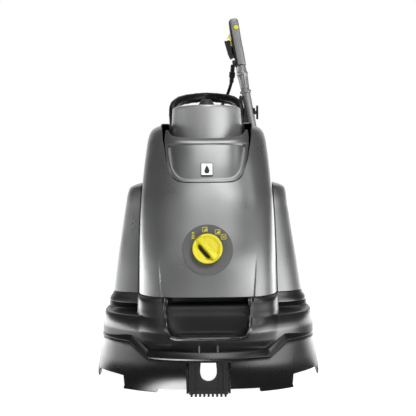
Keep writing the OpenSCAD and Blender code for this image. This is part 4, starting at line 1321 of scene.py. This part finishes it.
def lance_grip():
    """The grip below the gun: long flutes and a collar."""
    core = pchip(GRIP_CORE, 1)
    rows = []
    for z in spans((107, 144, 30), (145, 157, 16), (159, 172.8, 6)):
        share = float(ease(z, 108, 112) * (1 - ease(z, 138, 144)))
        ring = []
        for a in full_turn(120):
            flute = max(0.0, math.cos(FLUTES * a + math.pi)) ** 2 * FLUTE_DEPTH * share
            r = float(core(z)) - flute
            ring.append((r * math.cos(a), r * math.sin(a), z))
        rows.append(ring)
    made = block("lance_grip_fluted", rows, place=ON_LANCE)
    piece(made, "gun_grey", "lance_grip", angle=40)


lance_grip()


def outline_block(name, outline, y0, y1, place=None):
    """A block with the given outline in x and z, between two depths, front edge rounded."""
    points = np.array(outline, float)
    middle = points.mean(axis=0)
    rows = []
    for y, share in ((y1, 1), (y0 + 1.2, 1), (y0 + 0.3, 0.985), (y0, 0.95)):
        flat = middle + (points - middle) * share
        rows.append(np.column_stack([flat[:, 0], np.full(len(flat), y), flat[:, 1]]))
    return block(name, rows, place=place)


def holder_parts():
    """The bracket between the bow and the lance, its bolt, and the rear cheek behind the trigger."""
    bracket = [(103, 698), (118, 698), (116.5, 712), (112.5, 716), (111, 738), (106.5, 742), (103.5, 772),
               (99, 777), (95, 774), (95.5, 764), (99.5, 752), (102, 742), (101.5, 722)]
    made = outline_block("holder_bracket", bracket, 124, 152)
    piece(made, "black_fittings", bevel=0.6, angle=35)
    bolt = [(5.2, 0), (5.2, 2.4), (4.4, 3.2), (2.6, 3.2), (2.4, 1.8), (0.5, 1.7)]
    made = lathe("holder_bolt", bolt, 36, placed((106.8, 124, 730), 90))
    piece(made, "zinc_steel", angle=35)
    cheek = [(-20, 206), (-12, 204), (-12, 252), (-17.6, 252), (-19.4, 232)]
    made = outline_block("gun_rear_cheek", cheek, 5.3, 7.2, ON_LANCE)
    piece(made, "soft_grip", angle=35)


holder_parts()

# ---- rounded edges on the frame's own parts
EDGES = {"lance_holder": 1.0, "front_foot": 0.9, "foot_pads": 0.8, "fuel_cap": 1.2, "water_inlet": 0.8,
         "hose_hook": 1.2, "wheel_hub_left": 1.2, "wheel_hub_right": 1.2, "trigger": 1.0,
         "safety_latch": 0.7, "cable_hook": 1.0, "gun_hose_fitting": 0.7, "mudguard_left": 0.8,
         "mudguard_right": 0.8, "hose_outlet": 0.6}
for name, width in EDGES.items():
    soften(frame["nodes"][name], width)

# ---- studio
# soft light panels all round, above and below: azimuth from the front (right is +), elevation,
# half widths in degrees, brightness, softness of the edge
PANELS = [(42, 6, 34, 11, 2.0, 0.45), (65, -6, 30, 7.5, 5.0, 0.5), (150, -1.5, 40, 6, 4.2, 0.45),
          (-114, -3.5, 54, 5.5, 5.0, 0.45), (11, 47, 16, 12, 4.4, 0.8), (50, 36, 9, 4, 2.4, 0.5),
          (2, 27, 9, 8, 0.9, 0.9), (-30, 4, 60, 16, 0.2, 0.6), (-18, 26, 18, 12, 0.35, 0.8),
          (10, 68, 60, 12, 2.4, 0.6), (-70, -72, 62, 12, 14.0, 0.45), (180, 20, 40, 50, 0.9, 0.5)]
AMBIENT = 0.045
KEY_ENERGY = 1.7
KEY_ANGLE = math.radians(9)
KEY_TURN = (math.radians(47), 0, math.radians(30))
FLOOR_HALF = 6.0
FLOOR_Z = -0.0005
FLOOR_GLOW = 0.95


def world_light(tree):
    """Brightness of the studio by direction: a sum of soft-edged ovals."""
    def math_node(operation, *inputs):
        return add_node(tree, "ShaderNodeMath", dict(enumerate(inputs)), operation=operation).outputs[0]

    place = tree.nodes.new("ShaderNodeTexCoord").outputs["Generated"]
    x, y, z = add_node(tree, "ShaderNodeSeparateXYZ", {0: place}).outputs
    azimuth = math_node("ARCTAN2", x, math_node("MULTIPLY", y, -1.0))
    elevation = math_node("ARCSINE", z)
    total = math_node("ADD", AMBIENT, 0.0)
    for az, el, wide, high, level, soft in PANELS:
        across = math_node("WRAP", math_node("SUBTRACT", azimuth, math.radians(az)), math.pi, -math.pi)
        across = math_node("DIVIDE", across, math.radians(wide))
        upward = math_node("SUBTRACT", elevation, math.radians(el))
        upward = math_node("DIVIDE", upward, math.radians(high))
        across = math_node("MULTIPLY", across, across)
        upward = math_node("MULTIPLY", upward, upward)
        radius = math_node("SQRT", math_node("ADD", across, upward))
        ends = {"Value": radius, "From Min": 1 + soft, "From Max": 1 - soft, "To Min": 0, "To Max": level}
        edge = add_node(tree, "ShaderNodeMapRange", ends, interpolation_type="SMOOTHSTEP")
        total = math_node("ADD", total, edge.outputs["Result"])
    return total


def world():
    """A studio that is plain white to the camera and lights the machine with its panels."""
    made = bpy.data.worlds.new("studio")
    bpy.context.scene.world = made
    made.use_nodes = True
    tree = made.node_tree
    tree.nodes.clear()
    white = add_node(tree, "ShaderNodeBackground", {"Color": (1, 1, 1, 1)}).outputs[0]
    panels = add_node(tree, "ShaderNodeBackground", {"Strength": world_light(tree)}).outputs[0]
    seen = tree.nodes.new("ShaderNodeLightPath").outputs["Is Camera Ray"]
    choose = add_node(tree, "ShaderNodeMixShader", {"Fac": seen, 1: panels, 2: white}).outputs[0]
    add_node(tree, "ShaderNodeOutputWorld", {"Surface": choose})


def key_light():
    """A soft sun from in front, above and to the right, kept out of the reflections."""
    sun = bpy.data.lights.new("key", "SUN")
    sun.energy = KEY_ENERGY
    sun.angle = KEY_ANGLE
    key = add_object("key", sun)
    key.rotation_euler = KEY_TURN
    key.visible_glossy = False


def floor():
    """A white floor just under the wheels, which stays out of the reflections."""
    s, z = FLOOR_HALF, FLOOR_Z
    mesh = bpy.data.meshes.new("floor")
    mesh.from_pydata([(-s, -s, z), (s, -s, z), (s, s, z), (-s, s, z)], [], [(0, 1, 2, 3)])
    made = add_object("floor", mesh)
    made.visible_glossy = False
    paint = bpy.data.materials.new("floor")
    paint.use_nodes = True
    shader = paint.node_tree.nodes["Principled BSDF"]
    shader.inputs["Base Color"].default_value = (0.85, 0.85, 0.85, 1)
    shader.inputs["Roughness"].default_value = 0.9
    shader.inputs["Emission Color"].default_value = (1, 1, 1, 1)
    shader.inputs["Emission Strength"].default_value = FLOOR_GLOW
    mesh.materials.append(paint)


bpy.context.scene.view_settings.view_transform = "Standard"
world()
key_light()
floor()
